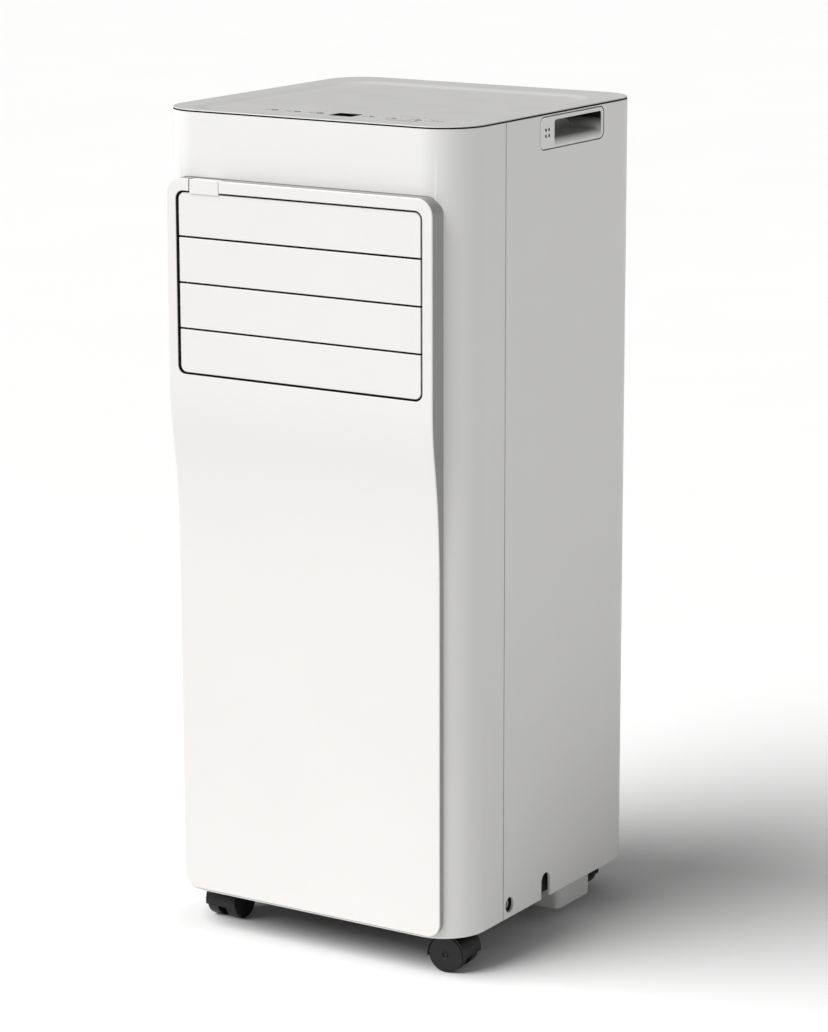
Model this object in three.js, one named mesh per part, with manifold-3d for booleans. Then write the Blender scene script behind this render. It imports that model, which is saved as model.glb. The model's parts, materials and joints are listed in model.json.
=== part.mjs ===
// Compact portable air conditioner: a tall white two-shell body on four twin-wheel casters.
// Millimetres. +X is the unit's right side, -Y its front and +Z up.
// The origin is on the floor, under the centre of the unit.

import * as THREE from 'three';
import { mergeVertices } from 'three/addons/utils/BufferGeometryUtils.js';
import Module from 'manifold-3d';

const wasm = await Module();
wasm.setup();

// ---------------------------------------------------------------- driving dimensions

const gap = 0.3;                       // clearance between pieces that touch
const floorGap = 34;                   // floor to the lower edge of the shells
const body = { width: 292, depth: 289.2, height: 660, wall: 2.5, frontRadius: 38, rearRadius: 34 };
const datumY = -13.1;                  // the layout's Y = 0, seen from the centre of the finished unit
const seamY = -63;                     // upright joint between the front and rear shells
const panel = { halfWidth: 127.4, lift: 1.5, height: 606, topRadius: 14, bottomRadius: 12.5, skin: 2.5 };
const swell = { front: 11.2, foot: 0.75, top: 440, bottom: 285 };   // how far the panel stands proud
const pocketDepth = 2.6;               // recess in the front shell that holds the panel
const outlet = { halfWidth: 117, low: 446.7, high: 597.5, radius: 7 };
const louver = { count: 4, slit: 1.7, side: 1.4, setBack: 1.2, thickness: 3, pivotDepth: 4.6, stub: 1.5,
  crank: 5.2 };
const tab = { from: -102.8, to: -74.2, setBack: 0.2, depth: 8.8 };
const cover = { gap: 0.4, height: 1.9, floor: 2.6 };
const dish = { halfWidth: 121, front: 12, rear: 35.2, radius: 28 };   // front and rear rims
const keyCentres = { power: -59, mode: -37, timer: -15, down: 34, up: 56, speed: 78 };
const keyY = -85;
const keyRadius = 7;
const display = { x0: -1.5, x1: 20.5, y0: -94, y1: -76 };
const handle = { y0: -9.9, y1: 92.6, z0: 632.5, z1: 658.2, gripY0: 12.5, gripY1: 88.9, gripZ0: 635,
  gripZ1: 654.2 };
const handleDepth = 36;
const port = { z: 284, bore: 64, spigot: 70, flange: 77, collar: 68, proud: 11.2 };
const upperIntake = { halfWidth: 112, low: 371, high: 621, slats: 10 };
const lowerIntake = { halfWidth: 112, low: 30, high: 182, slats: 6 };
const sump = { halfWidth: 140, y0: 38, y1: 93.3, depth: 21.4, radius: 6 };
const panInset = 6;
const caster = { radius: 15.5, wheelWidth: 11, halfWidth: 15, web: 3.6, trail: 10, hood: 17.5, stem: 4 };
const casterSpots = {
  front_right: { x: 110, y: -99, yaw: 4 },
  front_left: { x: -110, y: -99, yaw: 90 },
  rear_right: { x: 110, y: 130, yaw: 170 },
  rear_left: { x: -110, y: 130, yaw: 205 },
};

const frontY = -body.depth / 2 - datumY;
const rearY = body.depth / 2 - datumY;
const sideX = body.width / 2;
const bottomZ = floorGap;
const topZ = floorGap + body.height;
const panelBackY = frontY + pocketDepth - gap;
const shellInnerFrontY = frontY + pocketDepth + body.wall;
const panelLow = bottomZ + panel.lift;
const panelHigh = panelLow + panel.height;
const outletLow = bottomZ + outlet.low;
const outletHigh = bottomZ + outlet.high;
const panelFaceY = frontY - swell.front;

// ---------------------------------------------------------------- materials

function plastic(colour, roughness) {
  return new THREE.MeshStandardMaterial({ color: colour, roughness, metalness: 0 });
}

function metal(colour, roughness) {
  return new THREE.MeshStandardMaterial({ color: colour, roughness, metalness: 1 });
}

const finish = {
  panel: () => plastic(0xf4f2ef, 0.35),
  shell: () => plastic(0xe6e4e0, 0.45),
  cover: () => plastic(0xd6d5d2, 0.5),
  window: () => plastic(0x0b0b0c, 0.1),
  handle: () => plastic(0xdcdad6, 0.5),
  grille: () => plastic(0xdedcd8, 0.5),
  tray: () => plastic(0xb4b4b2, 0.55),
  caster: () => plastic(0x1b1b1c, 0.45),
  duct: () => plastic(0x2c2d2f, 0.7),
  foam: () => plastic(0xe9e6dc, 0.9),
  filter: () => plastic(0x4a4f55, 0.9),
  rubber: () => plastic(0x202020, 0.8),
  board: () => plastic(0x1f5a36, 0.5),
  motor: () => metal(0x9a9da0, 0.4),
  compressor: () => metal(0x202224, 0.45),
  coil: () => metal(0xb8bcc0, 0.35),
  copper: () => metal(0xb8734a, 0.3),
  screw: () => metal(0xa8aaac, 0.3),
};

// ---------------------------------------------------------------- solids

const MERGE_DISTANCE = 1e-4;

// A closed geometry as a solid that can be joined and cut.
function solid(geometry) {
  const bare = geometry.clone();
  bare.deleteAttribute('normal');
  bare.deleteAttribute('uv');
  const merged = mergeVertices(bare, MERGE_DISTANCE);
  const corners = merged.index.array;
  const kept = [];
  for (let i = 0; i < corners.length; i += 3) {
    const [a, b, c] = [corners[i], corners[i + 1], corners[i + 2]];
    if (a !== b && b !== c && c !== a) kept.push(a, b, c);
  }
  const vertProperties = Float32Array.from(merged.attributes.position.array);
  return new wasm.Manifold(new wasm.Mesh({ numProp: 3, vertProperties, triVerts: Uint32Array.from(kept) }));
}

function join(first, ...others) {
  return others.reduce((whole, other) => whole.add(other), first);
}

function cut(first, ...tools) {
  return tools.reduce((whole, tool) => whole.subtract(tool), first);
}

function geometryOf(shape) {
  const mesh = shape.getMesh();
  const geometry = new THREE.BufferGeometry();
  geometry.setAttribute('position', new THREE.BufferAttribute(Float32Array.from(mesh.vertProperties), 3));
  geometry.setIndex(new THREE.BufferAttribute(Uint32Array.from(mesh.triVerts), 1));
  geometry.computeVertexNormals();
  return geometry;
}

function box(x0, x1, y0, y1, z0, z1) {
  const geometry = new THREE.BoxGeometry(x1 - x0, y1 - y0, z1 - z0);
  return solid(geometry.translate((x0 + x1) / 2, (y0 + y1) / 2, (z0 + z1) / 2));
}

const AXIS_X = new THREE.Vector3(1, 0, 0);
const AXIS_Y = new THREE.Vector3(0, 1, 0);
const AXIS_Z = new THREE.Vector3(0, 0, 1);
const outlineInYZ = new THREE.Matrix4().makeBasis(AXIS_Y, AXIS_Z, AXIS_X);
const outlineInXZ = new THREE.Matrix4().makeBasis(AXIS_X, AXIS_Z, AXIS_Y.clone().negate());

// An outline in the plane across the axis, drawn out along the axis between two places.
function prism(outline, axis, from, to, curveSegments = 5) {
  const options = { depth: to - from, bevelEnabled: false, curveSegments };
  const geometry = new THREE.ExtrudeGeometry(outline, options);
  if (axis === 'x') geometry.applyMatrix4(outlineInYZ).translate(from, 0, 0);
  if (axis === 'y') geometry.applyMatrix4(outlineInXZ).translate(0, to, 0);
  if (axis === 'z') geometry.translate(0, 0, from);
  return solid(geometry);
}

// A round bar along an axis; u and v are its other two coordinates, in X, Y, Z order.
function rod(axis, u, v, from, to, radius, segments = 24) {
  const geometry = new THREE.CylinderGeometry(radius, radius, to - from, segments);
  const middle = (from + to) / 2;
  if (axis === 'x') geometry.rotateZ(Math.PI / 2).translate(middle, u, v);
  if (axis === 'y') geometry.translate(u, middle, v);
  if (axis === 'z') geometry.rotateX(Math.PI / 2).translate(u, v, middle);
  return solid(geometry);
}

// A turned piece about an axis along Y; the profile is [radius, y] points that close on themselves.
function turned(x, z, profile, segments = 32, phase = 0) {
  const points = profile.map(([radius, y]) => new THREE.Vector2(radius, y));
  points.push(points[0].clone());
  const geometry = new THREE.LatheGeometry(points, segments, phase);
  return solid(geometry.translate(x, 0, z));
}

function pipe(route, radius, steps) {
  const path = new THREE.CatmullRomCurve3(route.map((place) => new THREE.Vector3(...place)));
  const section = new THREE.Shape().absarc(0, 0, radius, 0, 2 * Math.PI);
  return solid(new THREE.ExtrudeGeometry(section, { steps, extrudePath: path, curveSegments: 3 }));
}

function polygon(points) {
  return new THREE.Shape(points.map(([u, v]) => new THREE.Vector2(u, v)));
}

// Radii run from the lower left corner anticlockwise.
function roundedRect(u0, v0, u1, v1, radii) {
  const [a, b, c, d] = Array.isArray(radii) ? radii : [radii, radii, radii, radii];
  const outline = new THREE.Shape();
  outline.moveTo(u0 + a, v0);
  outline.lineTo(u1 - b, v0);
  if (b > 0) outline.absarc(u1 - b, v0 + b, b, -Math.PI / 2, 0);
  outline.lineTo(u1, v1 - c);
  if (c > 0) outline.absarc(u1 - c, v1 - c, c, 0, Math.PI / 2);
  outline.lineTo(u0 + d, v1);
  if (d > 0) outline.absarc(u0 + d, v1 - d, d, Math.PI / 2, Math.PI);
  outline.lineTo(u0, v0 + a);
  if (a > 0) outline.absarc(u0 + a, v0 + a, a, Math.PI, 1.5 * Math.PI);
  return outline;
}

// ---------------------------------------------------------------- scene graph

const unit = new THREE.Group();
const layout = new THREE.Group();      // carries every piece, and sets the unit over its origin
layout.position.y = datumY;
unit.add(layout);

function place(name, shape, material, parent = layout) {
  const mesh = new THREE.Mesh(geometryOf(shape), material);
  mesh.name = name;
  parent.add(mesh);
  return mesh;
}

// ---------------------------------------------------------------- outer shells

const FAR = 400;                       // past the outside of everything

function bodyOutline(inset) {
  const front = body.frontRadius - inset;
  const rear = body.rearRadius - inset;
  const x = sideX - inset;
  return roundedRect(-x, frontY + inset, x, rearY - inset, [front, front, rear, rear]);
}

function bodyBlock(inset, z0, z1, curveSegments = 5) {
  return prism(bodyOutline(inset), 'z', z0, z1, curveSegments);
}

// Everything inside the shells: the plan outline less the wall, and less the front's double thickness.
function shellCavity() {
  const inner = bodyBlock(body.wall, bottomZ - 5, topZ + 5);
  return cut(inner, box(-FAR, FAR, -FAR, shellInnerFrontY, 0, FAR * 2));
}

function panelOutline(grow) {
  const top = panel.topRadius + grow;
  const bottom = panel.bottomRadius + grow;
  const half = panel.halfWidth + grow;
  return roundedRect(-half, panelLow - grow, half, panelHigh + grow, [bottom, bottom, top, top]);
}

function outletOutline(grow) {
  const half = outlet.halfWidth + grow;
  return roundedRect(-half, outletLow - grow, half, outletHigh + grow, outlet.radius + grow);
}

function makeFrontShell() {
  const half = box(-FAR, FAR, -FAR, seamY - gap / 2, 0, FAR * 2);
  const skin = cut(bodyBlock(0, bottomZ, topZ).intersect(half), shellCavity());
  const pocket = prism(panelOutline(gap), 'y', frontY - 10, frontY + pocketDepth);
  const mouth = prism(outletOutline(0.5), 'y', frontY - 10, frontY + 20);
  place('front_shell', cut(skin, pocket, mouth), finish.shell());
}

function sideScrewSpot() {
  return { y: -52.6, z: bottomZ + 11.4 };
}

function makeRearShell() {
  const half = box(-FAR, FAR, seamY + gap / 2, FAR, 0, FAR * 2);
  let shell = cut(bodyBlock(0, bottomZ, topZ).intersect(half), shellCavity());
  const grip = roundedRect(handle.y0 - gap, bottomZ + handle.z0 - gap, handle.y1 + gap,
    bottomZ + handle.z1 + gap, 6);
  const notch = roundedRect(-0.5, bottomZ - 5, 13.5, bottomZ + 22.3, [0, 0, 6.9, 6.9]);
  const screw = sideScrewSpot();
  for (const [x0, x1] of [[-sideX - 5, -sideX + 5], [sideX - 5, sideX + 5]]) {
    shell = cut(shell, prism(grip, 'x', x0, x1, 3), prism(notch, 'x', x0, x1, 4));
    shell = cut(shell, rod('x', screw.y, screw.z, x0, x1, 6, 20));
  }
  const through = [rearY - 10, rearY + 10];
  for (const intake of [upperIntake, lowerIntake]) {
    const low = bottomZ + intake.low - (intake === upperIntake ? 1.2 : gap);
    const half = intake.halfWidth + 0.6;
    shell = cut(shell, box(-half, half, ...through, low, bottomZ + intake.high + gap));
  }
  shell = cut(shell, rod('y', 0, bottomZ + port.z, ...through, port.spigot + gap, 32));
  for (const hole of [drainSpots.middle, drainSpots.bottom, glandSpot]) {
    shell = cut(shell, rod('y', hole.x, hole.z, ...through, hole.radius + gap, 16));
  }
  place('rear_shell', shell, finish.shell());
}

// ---------------------------------------------------------------- front panel

// The panel seen from the side: a full swell round the outlet that eases into a thin skin below.
function panelSection(setBack, z0, z1) {
  const face = frontY - swell.front + setBack;
  const foot = frontY - swell.foot + setBack;
  const [high, low] = [bottomZ + swell.top, bottomZ + swell.bottom];
  const deep = frontY + 15;
  const section = new THREE.Shape();
  section.moveTo(deep, z0);
  section.lineTo(foot, z0);
  if (z0 < low) section.lineTo(foot, low);
  section.bezierCurveTo(foot, low + 100, face, high - 48, face, high);
  section.lineTo(face, z1);
  section.lineTo(deep, z1);
  return section;
}

function tabNotch() {
  const side = 0.5;
  return box(tab.from - side, tab.to + side, panelFaceY - 5, panelFaceY + tab.setBack + tab.depth + 0.5,
    outletHigh - 1, panelHigh + 5);
}

function louverPivot(index) {
  const pitch = (outletHigh - outletLow) / louver.count;
  const y = panelFaceY + louver.setBack + louver.pivotDepth;
  return { y, z: outletHigh - pitch * (index + 0.5), pitch };
}

function makeFrontPanel() {
  const frontFace = prism(panelOutline(0), 'y', frontY - 30, frontY + 30, 3);
  const swellBlock = prism(panelSection(0, 0, FAR * 2), 'x', -FAR, FAR, 6);
  const pocket = prism(panelOutline(0), 'y', frontY - 40, panelBackY, 3);
  const backing = cut(bodyBlock(-gap, 0, FAR * 2), pocket);
  let shape = cut(frontFace.intersect(swellBlock), backing);

  const hollowLow = bottomZ + 330;
  const inset = panel.skin;
  const hollowOutline = roundedRect(-panel.halfWidth + inset, hollowLow, panel.halfWidth - inset,
    panelHigh - inset, [3, 3, panel.topRadius - inset, panel.topRadius - inset]);
  const hollowSection = prism(panelSection(inset, 0, FAR * 2), 'x', -FAR, FAR, 6);
  const collar = prism(outletOutline(inset), 'y', frontY - 40, frontY + 40, 2);
  const hollow = cut(prism(hollowOutline, 'y', frontY - 40, frontY + 40, 2), collar)
    .intersect(hollowSection);
  const notchWalls = box(tab.from - 3, tab.to + 3, panelFaceY + 1, panelFaceY + tab.depth + 2.6,
    outletHigh, panelHigh - 1);
  shape = cut(shape, cut(hollow, notchWalls), prism(outletOutline(0), 'y', frontY - 40, frontY + 40, 3));
  shape = cut(shape, tabNotch());
  for (let i = 0; i < louver.count; i += 1) {
    const pivot = louverPivot(i);
    const wall = outlet.halfWidth + 1.2;
    shape = cut(shape, rod('x', pivot.y, pivot.z, -wall - 3, -wall + 3, louver.stub + gap, 10));
    shape = cut(shape, rod('x', pivot.y, pivot.z, wall - 3, wall + 1, louver.stub + gap, 10));
  }
  place('front_panel', shape, finish.panel());
}

// ---------------------------------------------------------------- louvers and their link

const crankX = -(outlet.halfWidth + panel.skin + gap);   // outer face of the panel's bearing wall
const crankThickness = 1.6;
const linkX = crankX - crankThickness - gap;
const linkThickness = 1.8;

function makeLouver(index) {
  const pivot = louverPivot(index);
  const half = pivot.pitch / 2 - louver.slit / 2;
  const width = outlet.halfWidth - louver.side;
  const round = outlet.radius - louver.side;
  const isTop = index === 0;
  const isBottom = index === louver.count - 1;
  const radii = [isBottom ? round : 0, isBottom ? round : 0, isTop ? round : 0, isTop ? round : 0];
  const face = panelFaceY + louver.setBack;
  const outline = roundedRect(-width, pivot.z - half, width, pivot.z + half, radii);
  let blade = prism(outline, 'y', face, face + louver.thickness, 3);

  for (const side of [-1, 1]) {
    const [inner, outer] = [width - 3, width - 0.2].map((x) => x * side).sort((a, b) => a - b);
    blade = join(blade, box(inner, outer, face + 1, pivot.y + 2.5, pivot.z - 4, pivot.z + 4));
  }
  const pinEnd = linkX - linkThickness - 0.4;
  const crankY = pivot.y + louver.crank;
  const arm = roundedRect(pivot.y - 2.4, pivot.z - 2.4, crankY + 2.4, pivot.z + 2.4, 2.3);
  blade = join(blade,
    rod('x', pivot.y, pivot.z, width - 2, outlet.halfWidth + 1.9, louver.stub, 10),
    rod('x', pivot.y, pivot.z, crankX - 0.5, -width + 2, louver.stub, 10),
    prism(arm, 'x', crankX - crankThickness, crankX, 2),
    rod('x', crankY, pivot.z, pinEnd, crankX - 1, 1.1, 8));
  if (isTop) {
    const [front, top] = [panelFaceY + tab.setBack, panelHigh - 0.2];
    blade = join(blade, box(tab.from, tab.to, front, front + tab.depth, pivot.z + half - 2, top));
  }
  place(`louver_${index + 1}`, blade, finish.panel());
}

function makeLouverLink() {
  const first = louverPivot(0);
  const last = louverPivot(louver.count - 1);
  const y = first.y + louver.crank;
  const outline = roundedRect(y - 2.4, last.z - 2.6, y + 2.4, first.z + 2.6, 2.3);
  let bar = prism(outline, 'x', linkX - linkThickness, linkX, 2);
  for (let i = 0; i < louver.count; i += 1) {
    bar = cut(bar, rod('x', y, louverPivot(i).z, linkX - 5, linkX + 5, 1.1 + gap, 8));
  }
  place('louver_link', bar, finish.duct());
}

// ---------------------------------------------------------------- top cover and controls

const dishZ = topZ + 0.2;
const coverFloorZ = dishZ - cover.floor;
const boardZ = topZ - 10.5;

function makeTopCover() {
  const rim = bodyBlock(0.2, topZ + cover.gap, topZ + cover.height);
  const behindFront = box(-FAR, FAR, shellInnerFrontY + gap, FAR, 0, FAR * 2);
  const plug = bodyBlock(body.wall + 1 + gap, coverFloorZ, topZ + 1).intersect(behindFront);
  const hollow = roundedRect(-dish.halfWidth, frontY + dish.front, dish.halfWidth, rearY - dish.rear,
    dish.radius);
  let shape = cut(join(rim, plug), prism(hollow, 'z', dishZ, topZ + 20, 3));
  const window = box(display.x0 - gap, display.x1 + gap, display.y0 - gap, display.y1 + gap,
    coverFloorZ - 5, dishZ + 5);
  shape = cut(shape, window);
  for (const x of Object.values(keyCentres)) {
    shape = cut(shape, rod('z', x, keyY, coverFloorZ - 5, dishZ + 5, keyRadius + gap, 14));
  }
  for (const x of [-72, 91]) {
    for (const y of [-100, -70]) {
      shape = join(shape, rod('z', x, y, boardZ + gap, coverFloorZ + 1, 3, 8));
    }
  }
  place('top_cover', shape, finish.cover());
}

function makeControls() {
  place('display_window', box(display.x0, display.x1, display.y0, display.y1, coverFloorZ + 0.4, dishZ),
    finish.window());
  const boardThickness = 1.6;
  const module = box(display.x0 + 2, display.x1 - 2, display.y0 + 2, display.y1 - 2,
    boardZ - 0.5, coverFloorZ);
  const plate = box(-76, 95, -104, -66, boardZ - boardThickness, boardZ);
  place('control_board', join(plate, module), finish.board());
  const dome = 1;
  for (const [name, x] of Object.entries(keyCentres)) {
    const cap = rod('z', x, keyY, coverFloorZ + 0.6, dishZ, keyRadius, 14);
    const plunger = rod('z', x, keyY, boardZ + dome, coverFloorZ + 1, 2.5, 8);
    place(`key_${name}`, join(cap, plunger), finish.cover());
  }
}

// ---------------------------------------------------------------- handles, port, grilles, plugs

function makeHandle(name, side) {
  const wall = 2;
  const [z0, z1] = [bottomZ + handle.z0, bottomZ + handle.z1];
  const [gripZ0, gripZ1] = [bottomZ + handle.gripZ0, bottomZ + handle.gripZ1];
  const outer = sideX - 0.1;
  const shellInner = sideX - body.wall;
  const bezel = prism(roundedRect(handle.y0, z0, handle.y1, z1, 5.7), 'x', shellInner - 1, outer, 3);
  const cup = box(sideX - handleDepth, shellInner - gap, handle.gripY0 - wall,
    handle.gripY1 + wall, gripZ0 - wall, gripZ1 + wall);
  const grip = roundedRect(handle.gripY0, gripZ0, handle.gripY1, gripZ1, 3);
  const pocket = prism(grip, 'x', sideX - handleDepth + wall, sideX + 5, 3);
  const shape = cut(join(bezel, cup), pocket);
  const mirror = new THREE.Matrix4().makeScale(side, 1, 1);
  place(name, side > 0 ? shape : shape.transform(mirror.elements), finish.handle());
}

function makeExhaustCollar() {
  const inner = rearY - 15;
  const face = rearY + gap;
  const profile = [[port.bore, inner], [port.spigot, inner], [port.spigot, face], [port.flange, face],
    [port.flange, face + 2.5], [port.collar, face + 2.5], [port.collar, rearY + port.proud],
    [port.bore, rearY + port.proud]];
  let collar = turned(0, bottomZ + port.z, profile, 32);
  const reach = port.bore + 2;
  for (const offset of [-32, 0, 32]) {
    const z = bottomZ + port.z + offset;
    const half = Math.sqrt(reach ** 2 - offset ** 2);
    collar = join(collar, box(-half, half, inner, inner + 3, z - 1.5, z + 1.5));
    collar = join(collar, box(offset - 1.5, offset + 1.5, inner, inner + 3,
      bottomZ + port.z - half, bottomZ + port.z + half));
  }
  place('exhaust_collar', collar, finish.grille());
}

// A flush frame filled with level slats.
function slattedGrille(intake, y0, y1) {
  const border = 7;
  const [low, high] = [bottomZ + intake.low, bottomZ + intake.high];
  const half = intake.halfWidth;
  let grille = cut(box(-half, half, y0, y1, low, high),
    box(-half + border, half - border, y0 - 5, y1 + 5, low + border, high - border));
  const pitch = (high - low - 2 * border) / (intake.slats + 1);
  for (let i = 1; i <= intake.slats; i += 1) {
    const z = low + border + pitch * i;
    grille = join(grille, box(-half + border - 1, half - border + 1, y0 + 0.4, y1 - 0.4, z - 3, z + 3));
  }
  return grille;
}

function makeRearGrilles() {
  place('upper_intake_grille', slattedGrille(upperIntake, rearY - 3.5, rearY - 0.3), finish.grille());
  const edge = 5;
  const half = upperIntake.halfWidth - edge;
  place('air_filter', box(-half, half, rearY - 5.4, rearY - 3.8, bottomZ + upperIntake.low + edge,
    bottomZ + upperIntake.high - edge), finish.filter());
  place('lower_intake_grille', slattedGrille(lowerIntake, rearY - 3.5, rearY - 0.3), finish.grille());
}

const drainSpots = {
  middle: { x: -96, z: bottomZ + 232, radius: 7 },
  bottom: { x: 0, z: bottomZ + 14, radius: 7 },
};
const glandSpot = { x: 96, z: bottomZ + 232, radius: 7 };

function makePlugsAndGland() {
  for (const [name, spot] of Object.entries(drainSpots)) {
    const head = rod('y', spot.x, spot.z, rearY + gap, rearY + 4, 10, 20);
    const shank = rod('y', spot.x, spot.z, rearY - 8, rearY + 2, spot.radius - 0.8, 16);
    place(`drain_plug_${name}`, join(head, shank), finish.rubber());
  }
  const flange = rod('y', glandSpot.x, glandSpot.z, rearY + gap, rearY + 3, 10, 20);
  const nose = rod('y', glandSpot.x, glandSpot.z, rearY - 8, rearY + 9, glandSpot.radius, 16);
  const bore = rod('y', glandSpot.x, glandSpot.z, rearY - 20, rearY + 20, 3.8, 12);
  place('cord_gland', cut(join(flange, nose), bore), finish.rubber());
}

// ---------------------------------------------------------------- base pan and casters

const panFloor = { low: bottomZ + 2, high: bottomZ + 5 };
const panWallTop = bottomZ + 28;

function makeBasePan() {
  const outer = bodyBlock(panInset, panFloor.low, panWallTop, 3);
  const inner = bodyBlock(panInset + body.wall, panFloor.high, panWallTop + 5, 3);
  const { halfWidth, y0, y1, depth, radius } = sump;
  const wall = body.wall;
  const well = prism(roundedRect(-halfWidth, y0, halfWidth, y1, radius), 'z', bottomZ - depth,
    panFloor.high, 3);
  const hollow = prism(roundedRect(-halfWidth + wall, y0 + wall, halfWidth - wall, y1 - wall,
    radius - wall), 'z', bottomZ - depth + wall, panFloor.high + 5, 3);
  let pan = cut(join(cut(outer, inner), well), hollow);
  for (const spot of Object.values(casterSpots)) {
    pan = join(pan, rod('z', spot.x, spot.y, panFloor.low, bottomZ + 23, 7.4, 12));
    pan = cut(pan, rod('z', spot.x, spot.y, panFloor.low - 2, bottomZ + 20, caster.stem + gap, 12));
  }
  const screw = sideScrewSpot();
  for (const side of [-1, 1]) {
    const reach = [side * 120, side * 150].sort((a, b) => a - b);
    const boss = [side * 128, side * (sideX - panInset - 1)].sort((a, b) => a - b);
    pan = join(pan, rod('x', screw.y, screw.z, ...boss, 4.5, 10));
    pan = cut(pan, rod('x', screw.y, screw.z, ...reach, 1.9 + gap, 10));
  }
  const drain = drainSpots.bottom;
  const spout = drain.radius + gap;
  pan = join(pan, rod('y', drain.x, drain.z, rearY - panInset - 12, rearY - panInset, spout + 1.5, 12));
  pan = cut(pan, rod('y', drain.x, drain.z, rearY - 25, rearY + 5, spout, 12));
  place('base_pan', pan, finish.tray());
}

function makeSideScrews() {
  const screw = sideScrewSpot();
  const head = sideX - panInset + gap;
  for (const [name, side] of [['right', 1], ['left', -1]]) {
    const along = (a, b) => [side * a, side * b].sort((p, q) => p - q);
    place(`side_screw_${name}`, join(
      rod('x', screw.y, screw.z, ...along(head, head + 2.6), 4.2, 16),
      rod('x', screw.y, screw.z, ...along(head - 11, head + 1), 1.9, 10)), finish.screw());
  }
}

// A caster is built trailing along its own +X, then turned and set under the pan.
function makeCaster(corner, spot) {
  const group = new THREE.Group();
  group.position.set(spot.x, spot.y, 0);
  group.rotation.z = THREE.MathUtils.degToRad(spot.yaw);
  layout.add(group);

  const { radius, trail, halfWidth, web, hood } = caster;
  const axleZ = radius;
  const wheelSpace = radius + 0.4;
  const roof = rod('y', trail, axleZ, -halfWidth, halfWidth, hood, 24);
  const below = polygon([[-20, -20], [60, -20], [60, axleZ - 1], [-20, axleZ - 4]]);
  let fork = cut(roof, prism(below, 'y', -FAR, FAR));
  fork = join(fork, rod('z', 0, 0, axleZ + 10, floorGap - 0.6, 9.5, 14));
  fork = cut(fork, rod('y', trail, axleZ, web, halfWidth + 5, wheelSpace, 24),
    rod('y', trail, axleZ, -halfWidth - 5, -web, wheelSpace, 24));
  const fin = rod('y', trail, axleZ, -web + 0.1, web - 0.1, wheelSpace + 0.3, 24);
  fork = join(fork, fin.intersect(box(-20, trail + 8, -20, 20, axleZ - 8, 60)));
  fork = join(fork,
    rod('z', 0, 0, floorGap - 1.5, panFloor.low - gap, 7, 12),
    rod('z', 0, 0, floorGap - 1.5, bottomZ + 19.5, caster.stem, 12),
    rod('y', trail, axleZ, -halfWidth + 0.5, halfWidth - 0.5, 2.2, 10));
  place(`caster_fork_${corner}`, fork, finish.caster(), group);

  const facets = 20;
  const treadRadius = radius / Math.cos(Math.PI / facets);   // so that a flat facet meets the floor
  const [inner, outer] = [halfWidth - caster.wheelWidth, halfWidth];
  const profile = [[2.5, inner], [treadRadius, inner], [treadRadius, outer - 1.1],
    [treadRadius - 1.1, outer], [2.5, outer]];
  const phase = Math.PI / facets;
  const wheel = turned(trail, axleZ, profile, facets, phase);
  place(`caster_wheel_${corner}_b`, wheel, finish.caster(), group);
  const mirror = new THREE.Matrix4().makeScale(1, -1, 1);
  place(`caster_wheel_${corner}_a`, wheel.transform(mirror.elements), finish.caster(), group);
}

// ---------------------------------------------------------------- air path inside

const upperFan = { x: -12, z: 388, wheel: 68, y0: -95, y1: -35 };
const lowerFan = { y: 45, z: 298, wheel: 50, x0: -33, x1: 37 };
const ductFloorZ = outletLow - 5;

// A blower scroll seen along its shaft: the radius grows from the tongue round to the mouth.
function scrollPoints(u, v, startRadius, endRadius, startDegrees, endDegrees) {
  const steps = 15;
  const points = [];
  for (let i = 0; i <= steps; i += 1) {
    const t = i / steps;
    const radius = startRadius + (endRadius - startRadius) * t;
    const angle = THREE.MathUtils.degToRad(startDegrees + (endDegrees - startDegrees) * t);
    points.push([u + radius * Math.cos(angle), v + radius * Math.sin(angle)]);
  }
  return points;
}

function makeUpperBlower() {
  const { x, z, wheel, y0, y1 } = upperFan;
  const wall = 2;
  const mouthZ = ductFloorZ - gap;
  const outline = (inset, top) => {
    const spiral = scrollPoints(x, z, wheel + 6 - inset, wheel + 32 - inset, 60, 360);
    const [tongueX] = spiral[0];
    const [lastX] = spiral[spiral.length - 1];
    return polygon([...spiral, [lastX, top], [tongueX + inset * 1.5, top]]);
  };
  let scroll = prism(outline(0, mouthZ), 'y', y0, y1);
  scroll = cut(scroll, prism(outline(wall, mouthZ + 10), 'y', y0 + wall, y1 - wall),
    rod('y', x, z, y1 - 10, y1 + 10, 50, 32), rod('y', x, z, y0 - 10, y0 + 10, 7, 16));
  place('upper_scroll', scroll, finish.foam());

  place('upper_motor', join(rod('y', x, z, shellInnerFrontY + 3, y0 - 2.5, 40, 24),
    rod('y', x, z, y0 - 5, y1 - 22, 4, 12)), finish.motor());
  const blower = bladedWheel(wheel, y0 + 5, y1 - 7);
  place('upper_blower_wheel', blower.translate([x, 0, z]), finish.duct());
}

// A centrifugal blower wheel about the Y axis: back plate, hub, blades and front ring.
function bladedWheel(radius, y0, y1) {
  const blades = 14;
  const plate = 2;
  let wheel = join(rod('y', 0, 0, y0, y0 + plate, radius, 24), rod('y', 0, 0, y0, y1 - 20, 9, 10));
  const ring = turned(0, 0, [[radius - 6, y1 - 3], [radius, y1 - 3], [radius, y1], [radius - 6, y1]], 24);
  wheel = join(wheel, ring);
  for (let i = 0; i < blades; i += 1) {
    const blade = new THREE.BoxGeometry(12, y1 - y0 - 2, 1.4);
    blade.rotateY(0.7).translate(radius - 6.6, (y0 + y1) / 2, 0).rotateY((2 * Math.PI * i) / blades);
    wheel = join(wheel, solid(blade));
  }
  const rim = rod('y', 0, 0, y0 - 5, y1 + 5, radius, 24);
  return cut(wheel.intersect(rim), rod('y', 0, 0, y0 - 5, y1 + 5, 4 + gap, 10));
}

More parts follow.
